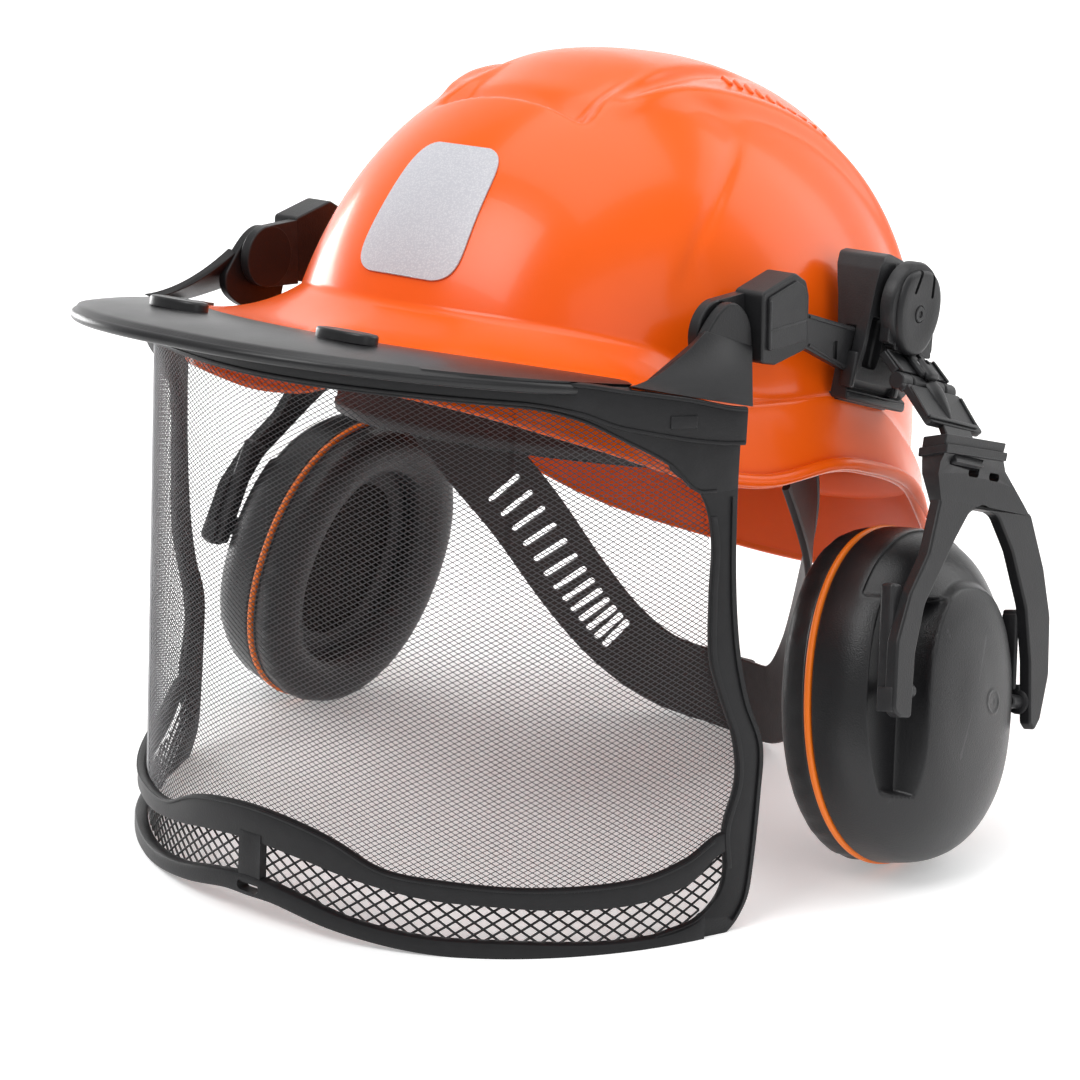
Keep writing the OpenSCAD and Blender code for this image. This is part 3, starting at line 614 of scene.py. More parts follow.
# rolled flange round each ear arch
fl_parts = []
for s in (-1, 1):
    pts, rad = [], []
    for dg in np.linspace(44, 122, 79):
        q, _ = prof(dg, 12)
        f = math.radians(dg)
        r = q[-1, 0] + 0.3
        pts.append([s * r * math.sin(f), YC - r * math.cos(f), q[-1, 1] + 1.5])
        rad.append(0.4 + 1.9 * sstep((dg - 44) / 10) * sstep((122 - dg) / 12))
    fl_parts.append(tube(pts, rad, 12))
obj("shell_arch_flange", join(*fl_parts), "root", "shell_orange", m=HELM, smooth=60)

# ------------------------------------------------------------------ badge: plain reflective patch
NB = 28
top, low = [], []


def badge_pt(u, v, o):
    x, z = u * 20 * (1 - 0.1 * v), 207 + v * 22
    q = z - ZC
    k = (1 - (q / DH) ** DN) ** (1 / DN)
    y = YC - BF * k * (1 - (abs(x) / (A_ * k)) ** DM) ** (1 / DM)
    n = np.array([x / A_ * 1.1, -(YC - y) / BF, q / DH * 0.85])
    n /= np.linalg.norm(n)
    return np.array([x, y, z]) + n * (o + 0.25)


rings = []
for j in range(NB + 1):
    v = -1 + 2 * j / NB
    v = math.sin(v * math.pi / 2)
    s = (1 - min(0.999, abs(v) * 0.985) ** 5) ** 0.2
    rings.append([badge_pt((-1 + 2 * i / NB) * s, v, 0.55) for i in range(NB + 1)] + [badge_pt((-1 + 2 * i / NB) * s, v, -0.2) for i in range(NB, -1, -1)])
obj("badge_patch", skin(rings), "root", "badge_film", ["front_badge"], HELM, bevel=0.2, angle=50)

# ------------------------------------------------------------------ harness
HA, HB, HY = 77, 99, 2


def hoop(o, n=160):
    t = np.linspace(0, 2 * np.pi, n, endpoint=False)
    return np.column_stack([(HA + o) * spw(np.sin(t), 0.95), HY - (HB + o) * spw(np.cos(t), 0.95)])


def band(sec, n=160, t0=None, t1=None):
    """a closed section [offset, z] swept round the head ring"""
    H = [hoop(o, n) for o, z in sec]
    R = np.stack([np.column_stack([H[i], np.full(n, sec[i][1])]) for i in range(len(sec))], 1)
    if t0 is None:
        return skin(R, closed=True)
    k = [i for i in range(n) if t0 <= i * 360 / n <= t1]
    return skin(R[k])


sec = [(0, 134.6), (0, 165.4), (0.4, 166), (1.6, 166), (2, 165.4), (2.6, 164.2), (2.6, 162.6), (2, 161.8), (2, 138.4), (2.6, 137.6), (2.6, 136), (2, 134.6), (1.6, 134), (0.4, 134)]
hbo = obj("headband_ring", band(sec), "root", "strap_plastic", ["headband"], HELM, smooth=45)
cut(hbo, [rbox((s * HA, 30 + 12 * k, 150), (16, 5, 12), 1.5) for s in (-1, 1) for k in range(3)], HELM)
soft = obj("sweatband_pad", band([(-4.2, 136), (-4.6, 148), (-4.2, 160), (-3.4, 162.4), (-1.8, 163), (-0.4, 161.5), (-0.3, 148), (-0.4, 134.5), (-1.8, 132.8), (-3.4, 133.4)], 160, 0, 100), "root", "sweat_cloth", (), HELM)
soft2 = obj("sweatband_pad_b", band([(-4.2, 136), (-4.6, 148), (-4.2, 160), (-3.4, 162.4), (-1.8, 163), (-0.4, 161.5), (-0.3, 148), (-0.4, 134.5), (-1.8, 132.8), (-3.4, 133.4)], 160, 260, 360), "root", "sweat_cloth", ["sweatband"], HELM)


def strap_arc(ax, a, b):
    ax = math.radians(ax)
    d = np.array([-math.sin(ax), math.cos(ax), 0])
    R = []
    for t in np.radians(np.linspace(-90, 90, 61)):
        def at(o):
            return np.array([(a + o) * math.sin(t) * math.cos(ax), HY + (a + o) * math.sin(t) * math.sin(ax), 166 + (b + o) * math.cos(t)])
        p, q = at(0), at(-1.6)
        c = (p + q) / 2
        R.append([p - 8.6 * d, p + 8.6 * d, c + 9 * d, q + 8.6 * d, q - 8.6 * d, c - 9 * d])
    return skin(R)


obj("crown_webbing", join(strap_arc(38, 86.2, 67), strap_arc(142, 86.2, 67)), "root", "web_weave", ["crown_straps"], HELM)
t = np.linspace(0, 2 * np.pi, 9)
pad = ring_lathe([(222.4, 7.4), (222.2, 8), (222.2, 31), (222.6, 32), (225, 32), (225.4, 31.4), (225.4, 27), (224.6, 26), (224.6, 12), (225.4, 11), (225.4, 7.8), (225, 7.4)], 96, "z", (0, HY, 0))
obj("crown_disc", pad, "root", "strap_plastic", ["crown_pad"], HELM, smooth=40)
anc = []
for a in (38, 142, 218, 322):
    R = rz(a)
    for p in (rbox((90.5, 0, 164.5), (3, 20, 25), 1.1), rbox((92.3, 0, 160), (1.6, 9, 12), 0.7), rbox((92.3, 0, 172), (1.2, 14, 2.4), 0.5)):
        anc.append(xform(tr(0, HY, 0) @ R, p))
obj("cradle_clips", join(*anc), "root", "strap_plastic", ["cradle_anchors"], HELM, smooth=40)

# nape strap
NX = [[0,0],[0.22,20],[0.42,38],[0.6,52],[0.75,65.5],[0.88,78],[1,85.8]]
NY = [[0,98],[0.22,96],[0.42,91],[0.6,82],[0.75,69],[0.88,53],[1,33]]
NZ = [[0,19.5],[0.22,19.2],[0.42,22],[0.6,41],[0.75,75],[0.88,106],[1,136]]
NZF = [[0,19.5],[0.22,22.5],[0.42,34],[0.6,54],[0.75,82],[0.88,108],[1,136]]


def nape(u):
    s = abs(u)
    t = min(max((u + 0.12) / 0.24, 0), 1)
    z = curve1(NZF, s) * (1 - t) + curve1(NZ, s) * t
    return np.array([math.copysign(curve1(NX, s), u), curve1(NY, s), z])


def nfr(u):
    p = nape(u)
    d = nape(min(1, u + 0.02)) - nape(max(-1, u - 0.02))
    d /= np.linalg.norm(d)
    o = np.array([p[0], p[1] - 10, -4.0]); o /= np.linalg.norm(o)
    w = np.cross(d, o); w /= np.linalg.norm(w)
    n = np.cross(w, d); n /= np.linalg.norm(n)
    return p, d, w, n


R = []
for u in np.linspace(-1, 1, 161):
    p, d, w, n = nfr(u)
    sec = [(14.5, 0.4), (13.9, 1.3), (12.2, 1.5), (11.6, 0.85), (-11.6, 0.85), (-12.2, 1.5), (-13.9, 1.3), (-14.5, 0.4), (-14.5, -0.5), (-14.1, -1), (14.1, -1), (14.5, -0.5)]
    R.append([p + a * w + b * n for a, b in sec])
ns = obj("nape_band", skin(R), "root", "strap_plastic", ["nape_strap"], WORLD, smooth=40)
cs = []
for k in range(13):
    p, d, w, n = nfr(-0.8 + 0.032 * k)
    cs.append(rbox(p, (2.6, 15, 8), 1.25, 4, m4(np.column_stack([d, w, n]))))
cut(ns, cs, WORLD)
B0 = nape(0) + np.array([0, 2.2, 0])
BK = WORLD @ tr(*B0) @ rx(-4)
kn = [lathe([(4.4, 8.2), (7.6, 8.2), (8.4, 7.4), (8.6, 5), (8.0, 3)], 60, "y")]
for k in range(20):
    a = k * math.tau / 20
    kn.append(rbox((8.2 * math.cos(a), 6, 8.2 * math.sin(a)), (1.0, 3.0, 1.0), 0.35, 2, ry(-math.degrees(a))))
bk = join(rbox((0, 2.2, 0), (38, 4.5, 24), 1.6, 4), rbox((-13.4, 4.9, 0), (6, 1.2, 18), 0.5), rbox((13.4, 4.9, 0), (6, 1.2, 18), 0.5), *kn)
obj("nape_adjuster", bk, "root", "strap_plastic", ["nape_buckle"], BK, smooth=40)

# ------------------------------------------------------------------ visor
VR, VYC = 128.2, 30.0
mesh_hi = [[0,-14.6],[38,-15],[46,-18],[52,-23.5],[59,-32],[63,-40],[66,-56],[68,-92],[70,-105],[72,-114],[74,-122]]
mesh_lo = [[0,-160.6],[7.5,-162],[14,-165.4],[21.5,-172],[30,-173.8],[44,-174.4],[58,-172],[65,-166.6],[71,-158],[74,-146]]
win_top = [[0,-17.8],[38,-18.2],[46,-21.5],[52,-27.5],[59,-35.6],[63.8,-44.5]]
win_bot = [[0,-157.2],[7.5,-158.6],[14,-162],[21.5,-168.8],[30,-170.4],[44,-171],[58,-168.5],[65,-163.3],[71,-156]]
gr_top = [[0,-169],[9,-170.7],[17,-173.8],[27.4,-176.9],[37,-177.6],[47,-178.2],[58,-176.8],[65.4,-171.7],[71.3,-162.4]]
gr_bot = [[0,-180.6],[8,-182.8],[17,-187],[27.6,-189.3],[38.7,-189],[58,-188.6],[67.4,-184],[71,-173.3]]
bot = [[0,-187.9],[5,-188.1],[14,-191.7],[25,-194.5],[35,-195.2],[60,-195.4],[67,-195.4]]
side_in = [[-195.4,58],[-188.6,60],[-184,67],[-173,71],[-155,70.6],[-139,72.3],[-125,71.4],[-111,68.8],[-98,66.8],[-78,66.2],[-59,66],[-44.5,63.8],[-35.6,59]]
side_out = [[-195.4,67],[-190,72],[-182,74.9],[-174,75.9],[-143.5,76.7],[-128,76.5],[-112.6,73.5],[-92.4,71.2],[-61.5,69.8],[-14,69.4]]


def vp(r, a, z):
    a = math.radians(a)
    return np.array([r * math.sin(a), VYC - r * math.cos(a), z])


def tabs(t, x):
    return t if np.isscalar(t) else curve1(t, abs(x))


def rsec(lo, hi, r0, r1, c=0.8):
    """rounded rectangle (height, radius) between lo..hi and r0..r1"""
    c = min(c, (hi - lo) * 0.45, (r1 - r0) * 0.45)
    k = c * 0.29
    return [(lo + c, r0), (hi - c, r0), (hi - k, r0 + k), (hi, r0 + c), (hi, r1 - c), (hi - k, r1 - k), (hi - c, r1), (lo + c, r1), (lo + k, r1 - k), (lo, r1 - c), (lo, r0 + c), (lo + k, r0 + k)]


def vstrip(a0, a1, n, lo, hi, r0, r1, c=0.8):
    R = []
    for i in range(n + 1):
        a = a0 + (a1 - a0) * i / n
        R.append([vp(r, a, h) for h, r in rsec(tabs(lo, a), tabs(hi, a), r0, r1, c)])
    return skin(R)


def vpost(s, r0, r1, z0, z1, n, ti=side_in, to=side_out, di=0.0, do=0.0, c=0.8):
    R = []
    for z in np.linspace(z0, z1, n + 1):
        i, o = curve1(ti, z) + di, curve1(to, z) + do
        k = 180 / math.pi / r1
        c2 = min(c, (o - i) / k * 0.4)
        R.append([vp(r, s * a * k, z) for a, r in rsec(i / k, o / k, r0, r1, c2)])
    return skin(R)


r0, r1 = VR + 0.5, VR + 3.4
parts = [vstrip(-69.3, 69.3, 120, win_top, [[0,-12.5],[52,-12.5],[60,-16],[70,-19.5]], r0, r1),
         vstrip(-71.4, 71.4, 140, gr_top, win_bot, r0, r1),
         vstrip(-2.1, 2.1, 4, -184, -166, r0, r1 + 0.3)]
for s in (-1, 1):
    parts.append(vpost(s, r0, r1, -195.2, -19.5, 150))
    # outer rib down the post, and the inner bead round the window
    parts.append(vpost(s, r1 - 0.4, r1 + 0.7, -186, -46, 110, di=0.0, do=-0.9, ti=[[a, b - 1.1] for a, b in side_out], c=0.5))
    parts.append(vpost(s, r1 - 0.4, r1 + 0.35, -168, -52, 100, ti=[[a, b + 0.1] for a, b in side_in], to=[[a, b + 0.9] for a, b in side_in], c=0.3))
parts.append(vstrip(-66, 66, 120, [[a, b + 0.2] for a, b in win_top], [[a, b + 1.2] for a, b in win_top], r1 - 0.4, r1 + 0.35, 0.3))
parts.append(vstrip(-69, 69, 120, [[a, b - 1.3] for a, b in win_bot], [[a, b - 0.3] for a, b in win_bot], r1 - 0.4, r1 + 0.45, 0.3))
vf = obj("visor_frame_moulding", join(*parts), "visor", "frame_black", ["visor_frame"], VISF, smooth=45)
# flatten what would stand under the resting plane
for v in vf.data.vertices:
    if v.co.z < 0.0:
        v.co.z = 0.0
# lower rim, with the open release slot at its middle
rim = obj("visor_frame_rim", vstrip(-68.0, 68.0, 140, bot, gr_bot, r0 - 1, r1 + 0.8, 1.2), "visor", "frame_black", (), VISF, smooth=45)
tt = np.linspace(0, 2 * np.pi, 40, endpoint=False)
stad = np.column_stack([1.7 * np.cos(tt) + 3.1 * np.sign(np.cos(tt)), 1.7 * np.sin(tt) - 184.5])
cut(rim, [skin([np.column_stack([stad[:, 0], np.full(40, yy), stad[:, 1]]) for yy in (VYC - VR - 12, VYC - VR + 6)])], VISF)
for v in rim.data.vertices:
    if v.co.z < 0.0:
        v.co.z = 0.0


def lattice(a0, a1, w, h, lo, hi, r, tw, tz, arc=VR):
    """zigzag strands of a diamond lattice on the visor cylinder, square wires tw thick"""
    da = math.degrees(w / 2 / arc)
    hh = h / 2
    i0, i1 = int(math.floor(a0 / da)), int(math.ceil(a1 / da))
    zmin = min(q[1] for q in lo) - hh
    zmax = max(q[1] for q in hi) + hh
    k0, k1 = int(math.floor(zmin / hh)), int(math.ceil(zmax / hh))
    ii = np.arange(i0, i1 + 1)
    ang = np.radians(ii * da)
    L = np.array([curve1(lo, abs(x * da)) for x in ii])
    H = np.array([curve1(hi, abs(x * da)) for x in ii])
    V, F, o = [], [], 0
    for k in range(k0, k1):
        z = np.where((ii + k) % 2 == 0, k, k + 1) * hh
        mid = (z[:-1] + z[1:]) / 2
        ok = (mid > (L[:-1] + L[1:]) / 2) & (mid < (H[:-1] + H[1:]) / 2)
        j = 0
        n = len(ok)
        while j < n:
            if not ok[j]:
                j += 1
                continue
            e = j
            while e < n and ok[e]:
                e += 1
            idx = np.arange(j, e + 1)
            sn, cs_ = np.sin(ang[idx]), np.cos(ang[idx])
            ring = []
            for dr, dz in ((0, -tz / 2), (tw / 2, 0), (0, tz / 2), (-tw / 2, 0)):
                rr = r + dr
                ring.append(np.column_stack([rr * sn, VYC - rr * cs_, z[idx] + dz]))
            R = np.stack(ring, 1)
            m = len(idx)
            V.append(R.reshape(-1, 3))
            b = o + 4 * np.arange(m - 1)[:, None]
            q = np.array([[0, 1, 5, 4], [1, 2, 6, 5], [2, 3, 7, 6], [3, 0, 4, 7]])
            F.append((b[:, :, None] + q[None]).reshape(-1, 4))
            F.append(np.array([[o + 3, o + 2, o + 1, o], [o + 4 * (m - 1) + c for c in range(4)]]))
            o += 4 * m
            j = e
    return np.concatenate(V), [tuple(x) for x in np.concatenate(F).tolist()]


for n, (a, b) in enumerate(((-74, -37), (-37, 0), (0, 37), (37, 74))):
    mo = obj(f"visor_mesh_{n}", lattice(a, b, 2.9, 1.7, mesh_lo, mesh_hi, VR + 0.15, 0.31, 0.33), "visor", "mesh_steel",
             ["visor_mesh"] if n == 0 else (), VISF, fix=False, smooth=None)
    mo["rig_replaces"] = ["visor_mesh"]
glo = [[a, b - 1.6] for a, b in gr_bot]
ghi = [[a, b + 2] for a, b in gr_top]
for n, (a, b) in enumerate(((-72.5, -1.2), (1.2, 72.5))):
    go = obj(f"chin_grille_{n}", lattice(a, b, 6.0, 4.1, glo, ghi, VR - 1.2, 0.95, 1.15), "visor", "grille_plastic",
             ["chin_grille"], VISF, fix=False, smooth=None, bevel=0.12, seg=1)

# brow band: a stepped rail in front of the frame's top
BT = [[0,-9.0],[45,-9.0],[52,-10.9],[60,-13.4],[70,-17.4]]
BB = [[0,-16.4],[38,-16.8],[46,-19.4],[52,-23.8],[70,-29.4]]
bb = join(vstrip(-69.4, 69.4, 140, BB, BT, VR + 3.7, VR + 6.2, 0.9),
          vstrip(-69.2, 69.2, 140, [[a, b - 1.4] for a, b in BT], [[a, b - 0.1] for a, b in BT], VR + 5.8, VR + 6.9, 0.5),
          vstrip(-69.2, 69.2, 140, [[a, b + 0.2] for a, b in BB], [[a, b + 1.4] for a, b in BB], VR + 5.9, VR + 6.7, 0.45))
for a in (-60, 60):
    bb = join(bb, xform(tr(*vp(VR + 6.3, a, curve1(BB, abs(a)) + 6)) @ rz(a), rbox((0, 0, 0), (9, 1.0, 4.0), 0.45)))
obj("brow_rail", bb, "visor", "frame_black", ["brow_band"], VISF, smooth=45)

# ear tabs: flat lobe round the pivot that widens into a foot on the band
LOBE = [[-17.6,-6.2],[-14,-1.5],[-10.5,3.4],[-5,8.6],[0.5,10.8],[6,9],[11,4],[13,-4],[12,-14],[9,-21],[-6,-19],[-16,-13]]


def smooth_poly(P, it=3):
    P = np.asarray(P, float)
    for _ in range(it):
        Q = np.roll(P, -1, 0)
        P = np.stack([0.75 * P + 0.25 * Q, 0.25 * P + 0.75 * Q], 1).reshape(-1, 2)
    return P


def foot():
    """web that sweeps from the band's top edge up to the lobe"""
    R = []
    for i in range(37):
        t = i / 36
        a = 52.4 + (70.4 - 52.4) * t
        lo_o = vp(VR + 5.6, a, -9.6 - (a - 53) * 0.42 - 0.6)
        lo_i = vp(VR + 2.6, a, -9.6 - (a - 53) * 0.42 - 0.6)
        up_o = np.array([104.75, -12.5 + 25.2 * t, 3.0 - 7.5 * t])
        up_i = up_o - np.array([3.0, 0, 0.4])
        q = 1.9 - 0.8 * t
        row = []
        for k in range(13):
            s = k / 12
            v = lo_o * (1 - s) + up_o * s
            v[2] = lo_o[2] + (up_o[2] - lo_o[2]) * s**q
            row.append(v)
        for k in range(13):
            s = 1 - k / 12
            v = lo_i * (1 - s) + up_i * s
            v[2] = lo_i[2] + (up_i[2] - lo_i[2]) * s**q - 1.2 * (1 - t)
            row.append(v)
        R.append(row)
    return skin(R)


for side, M in SIDES:
    lobe = obj(f"ear_lobe_{side}", prism(fillet(smooth_poly(LOBE, 2), 0, 1), 100.9, 104.7), "visor", "frame_black", ["visor_ear_" + side], M @ VISF, bevel=0.7, seg=3)
    cut(lobe, [lathe([(90, 4.05), (103.9, 4.05)], 64, "x")], M @ VISF)
    obj(f"ear_foot_{side}", foot(), "visor", "frame_black", (), M @ VISF, bevel=0.35, seg=2, smooth=45)

# ------------------------------------------------------------------ peak
PB, PA, PY = 118, 98, -100


def brim_r(g):
    zg = curve1(gut_z, g)
    return wall(math.radians(g), zg) + curve1(shelf, g)


def peak_in(u):
    f = 39 * u / 90
    r = brim_r(abs(f)) + 1.3
    return np.array([r * math.sin(math.radians(f)), YC - r * math.cos(math.radians(f)), curve1(gut_z, abs(f)) + 0.6])


def peak_out(u):
    a = math.radians(u)
    return np.array([PA * spw(math.sin(a), 0.9), PY - 6 * abs(u) / 90 - (PB - 6) * math.cos(a) ** 0.9, 164.2 - 1.2 * math.cos(a)])


R = []
for i in range(161):
    u = -89 + 178 * i / 160
    a, b = peak_in(u), peak_out(u)
    w = np.linalg.norm((b - a)[:2])
    bow = 0.05 * w
    row = []
    for t in np.linspace(0, 0.955, 22):
        z = bow * (math.sin(math.pi * t) ** 0.8) * 0.93
        row.append(a + (b - a) * t + np.array([0, 0, z + 0.35 * sstep((0.06 - t) / 0.05)]))
    out = (b - a) / np.linalg.norm(b - a)
    e = b - out * 1.9
    for ph in np.linspace(80, -90, 12):
        p = math.radians(ph)
        row.append(e + out * 1.9 * math.cos(p) + np.array([0, 0, -2.3 + 1.8 * math.sin(p)]))
    row.append(b - out * 3.6 + np.array([0, 0, -4.0]))
    row.append(b - out * 4.4 + np.array([0, 0, -3.2]))
    for t in np.linspace(0.94, 0, 16):
        z = bow * (math.sin(math.pi * min(t, 0.97)) ** 0.8) * 0.93 - 2.4
        row.append(a + (b - a) * t + np.array([0, 0, z]))
    R.append(row)
obj("peak_shade", skin(R), "visor", "peak_black", ["peak"], HELM, smooth=55)
cl = []
for s in (-1, 1):
    m = tr(s * 36.3, -172.5, 168.7) @ rx(-1)
    n = 60
    t = np.linspace(0, 2 * np.pi, n, endpoint=False)
    rings = []
    for z, k in ((-1.6, 1.0), (0.6, 1.0), (1.15, 0.985), (1.5, 0.94), (1.62, 0.86), (1.35, 0.72), (1.3, 0.5)):
        rings.append(np.column_stack([11.2 * k * spw(np.sin(t), 0.8), 5.7 * (k if k > 0.9 else k * 0.94) * spw(np.cos(t), 0.8), np.full(n, z)]))
    cl.append(xform(m, skin(rings)))
obj("peak_studs", join(*cl), "visor", "peak_black", ["peak_clips"], HELM, smooth=50)

# ------------------------------------------------------------------ carriers, pins
for side, M in SIDES:
    W = M @ WORLD
    block = fillet([[-19.4,181],[-19.4,203.8],[-1.5,207.6],[4.5,204],[6.2,199],[6.2,181.5],[-12,179.2]], [2, 2, 3, 3, 2.5, 3, 2], 5)
    c = obj(f"carrier_block_{side}", prism(block, 96.2, 107.6), "root", "black_abs", ["carrier_" + side], W, bevel=0.8, seg=3)
    face = fillet([[-16.8,184.6],[-16.8,202.0],[-1.8,205.2],[2.6,202.6],[3.8,198.4],[3.8,184.6]], 1.6, 4)
    d = [prism(face, 107.2, 108.5), rbox((108.55, -6.4, 191.4), (0.5, 20, 0.7), 0.2), rbox((108.2, -16.2, 193), (1.1, 1.3, 16), 0.45)]
    obj(f"carrier_face_{side}", join(*d), "root", "black_abs", (), W, bevel=0.45, seg=2)
    plate = join(lathe([(96.2, 10.6), (96.6, 11), (99.9, 11), (100.3, 10.6)], 64, "x", (0, -33, 192)), prism(fillet([[-33,181.1],[-19,180],[-18,203],[-33,202.9]], 0.3, 2), 96.3, 100.3))
    obj(f"carrier_disc_{side}", plate, "root", "black_abs", (), W, bevel=0.3)
    strap = obj(f"carrier_strap_{side}", prism(fillet([[4,193.8],[27,186],[33,184.2],[33,171.6],[27,170.6],[4,182]], 0.8, 3), 104.3, 107.5), "root", "black_abs", (), W, bevel=0.5, seg=2)
    rails = [tube([[107.4, 6.5, 192.0], [107.4, 27, 185.0], [107.4, 32.4, 183.4]], 0.6, 10), tube([[107.4, 6.5, 182.6], [107.4, 27, 171.8], [107.4, 32.4, 172.8]], 0.6, 10)]
    obj(f"carrier_rails_{side}", join(*rails), "root", "black_abs", (), W)
    cut(strap, [rbox((107.6, 21.8, 178), (3, 2.6, 6.4), 0.4)], W)
    pn = lathe([(96.4, 3.2), (96.8, 3.98), (103.3, 3.98), (103.7, 3.6), (103.7, 0.02)], 64, "x", (0, -33, 192))
    obj(f"pivot_pin_{side}", pn, "root", "black_abs", ["visor_pin_" + side], W, smooth=40)

# ------------------------------------------------------------------ ear defender arms
jA, jB, jC = (np.array(v, float) for v in ([114.2, 4.6, -17.4], [123.2, 6, -24.6], [136.2, 8.4, -37.6]))
tdir, tnor = np.array([0.582, 0, -0.813]), np.array([0.813, 0, 0.582])


def plate(p, q, hp, hq, t, r=1.2, off=0.0, dy=0.0):
    """flat plate between two lines, rounded corners, thickness along its outward normal"""
    d = q - p
    L = np.linalg.norm(d[[0, 2]])
    e = np.array([d[0], 0, d[2]]) / L
    n = np.array([-e[2], 0, e[0]])
    c = np.array([[0, -hp], [0, hp], [L, hq + d[1] + dy], [L, -hq + d[1] + dy]])
    P = fillet(c, r, 4)
    lo = np.array([p + e * a + np.array([0, b, 0]) + n * off for a, b in P])
    hi = lo + n * t
    return skin([lo, hi])


def on_plate(p, q, along, y, off):
    d = q - p
    L = np.linalg.norm(d[[0, 2]])
    e = np.array([d[0], 0, d[2]]) / L
    n = np.array([-e[2], 0, e[0]])
    yy = np.array([0, 1.0, 0])
    M = m4(np.column_stack([e, yy, n]), p + e * along + np.array([0, y + d[1] * along / L, 0]) + n * off)
    return M


for side, M in SIDES:
    S = M @ SIDE
    W = M @ WORLD
    # base: wedge housing that plugs into the shell's slot
    out = [[-33.9,-34],[-17.6,-10],[-17.4,4],[-16.8,10],[-14.4,14.4],[-10,16],[-2,15],[3,12],[7.4,4],[13,-12],[20,-34]]
    out[0] = [-18, -34]
    base = obj(f"muff_base_body_{side}", prism(fillet(out, [2, 3, 6, 3, 3, 4, 4, 4, 5, 5, 2], 5), 88, 112.2), "root", "black_abs", ["muff_base_" + side], S, bevel=0.0)
    keep = np.array([[103.4,-36],[103.0,-20],[98.2,0],[95,10],[90.8,22],[60,30],[60,-60],[103.4,-60]])
    top_cut = np.array([[100,21.5],[109,18.6],[112.3,12.4],[112.6,-14],[110.8,-27],[108.2,-29.6],[109.5,-30.6],[109.5,-36],[140,-40],[140,40],[95,40]])
    xz = lambda poly: (lambda v, f: (v[:, [1, 0, 2]], f))(*prism(poly, -60, 60))
    cut(base, [xz(keep)], S)
    cut(base, [xz(top_cut)], S)
    cut(base, [rbox((112.5, -11, -14), (8, 9, 17), 1.5), rbox((104, 28.2 - 52.7, 178 - 188.3), (6, 4, 12), 0.5)], S)
    cut(base, [prism([[5,193.8],[27,186.3],[33.4,184.6],[33.4,171.2],[27,170.3],[5,181.7]], 103.9, 107.9)], W)
    bvm = base.modifiers.new("bevel", "BEVEL")
    bvm.width, bvm.segments, bvm.limit_method, bvm.angle_limit, bvm.harden_normals = 0.7 * MM, 2, "ANGLE", math.radians(30), True
    d = [rbox((107.2, 0.5, -32.3), (6.0, 36, 2.6), 1.0, 3), rbox((112.3, -7.5, 4), (0.9, 1.2, 18), 0.4), rbox((108.6, 9.0, -24), (6, 3.0, 12), 0.7), rbox((108.6, -17.5, -24), (5, 2.4, 12), 0.7)]
    obj(f"muff_base_flange_{side}", join(*d), "root", "black_abs", (), S, smooth=40)
    obj(f"muff_base_tongue_{side}", join(rbox((100.3, 0, -39), (2.1, 30, 12), 0.5), rbox((102.2, 0, -33.3), (6, 30, 2.4), 0.6)), "root", "black_abs", (), S, smooth=40)
    # hub: disc with a raised pear face, two slots and a boss
    disc = obj(f"hub_disc_{side}", lathe([(113.5, 13.6), (114.0, 14.5), (117.6, 14.5), (118.6, 13.9), (118.9, 12.6), (118.9, 5)], 96, "x", (0, -1, 1)), "arm_" + side, "black_abs", ["hub_" + side], S, smooth=35)
    pear = smooth_poly([[-10.4, 2], [-9, 9], [-3, 12.2], [4, 12.2], [8.6, 8], [10.4, 1], [9.4, -6], [6.4, -12], [2, -14.6], [-3, -14.2], [-7.4, -10], [-9.8, -4]], 3) * np.array([1.24, 1.08])
    c0 = pear.mean(0)
    R = []
    for x, k in ((117.0, 1.0), (119.2, 1.0), (119.9, 0.975), (120.25, 0.93), (120.4, 0.86), (120.3, 0.6), (120.1, 0.3), (120.1, 0.04)):
        R.append(np.column_stack([np.full(len(pear), x), c0 + (pear - c0) * k]))
    face = obj(f"hub_face_{side}", skin(R), "arm_" + side, "black_abs", (), S, smooth=40)
    cut(face, [rbox((120.6, -4.4, 8.6), (3.2, 1.5, 8.5), 0.6, 3, rx(-14)), rbox((120.6, 4.6, 8.8), (3.2, 1.5, 8.5), 0.6, 3, rx(10)), lathe([(116, 3.0), (124, 3.0)], 40, "x", (0, 0, -1.5))], S)
    obj(f"hub_boss_{side}", lathe([(117, 2.7), (120.2, 2.7), (120.5, 2.4), (120.5, 1.2), (120.1, 1.0), (120.1, 0.02)], 48, "x", (0, 0, -1.5)), "arm_" + side, "black_abs", (), S, smooth=35)
    obj(f"hub_skirt_{side}", join(prism(fillet([[-13,-2],[-11.5,-13],[4,-14.9],[17,-13],[14,0]], 1.5), 113.5, 117.3), prism(fillet([[-8,-8],[-7,-14.9],[17,-14.9],[13,-8]], 1.2), 113.5, 117.6)), "arm_" + side, "black_abs", (), S, bevel=0.5)
    # hub pin, mostly hidden behind the hub face
    obj(f"hub_spindle_{side}", lathe([(98, 3.4), (98.5, 3.98), (113, 3.98), (116.9, 3.98), (117.0, 0.02)], 48, "x"), "root", "black_abs", ["hub_pin_" + side], S, smooth=35)
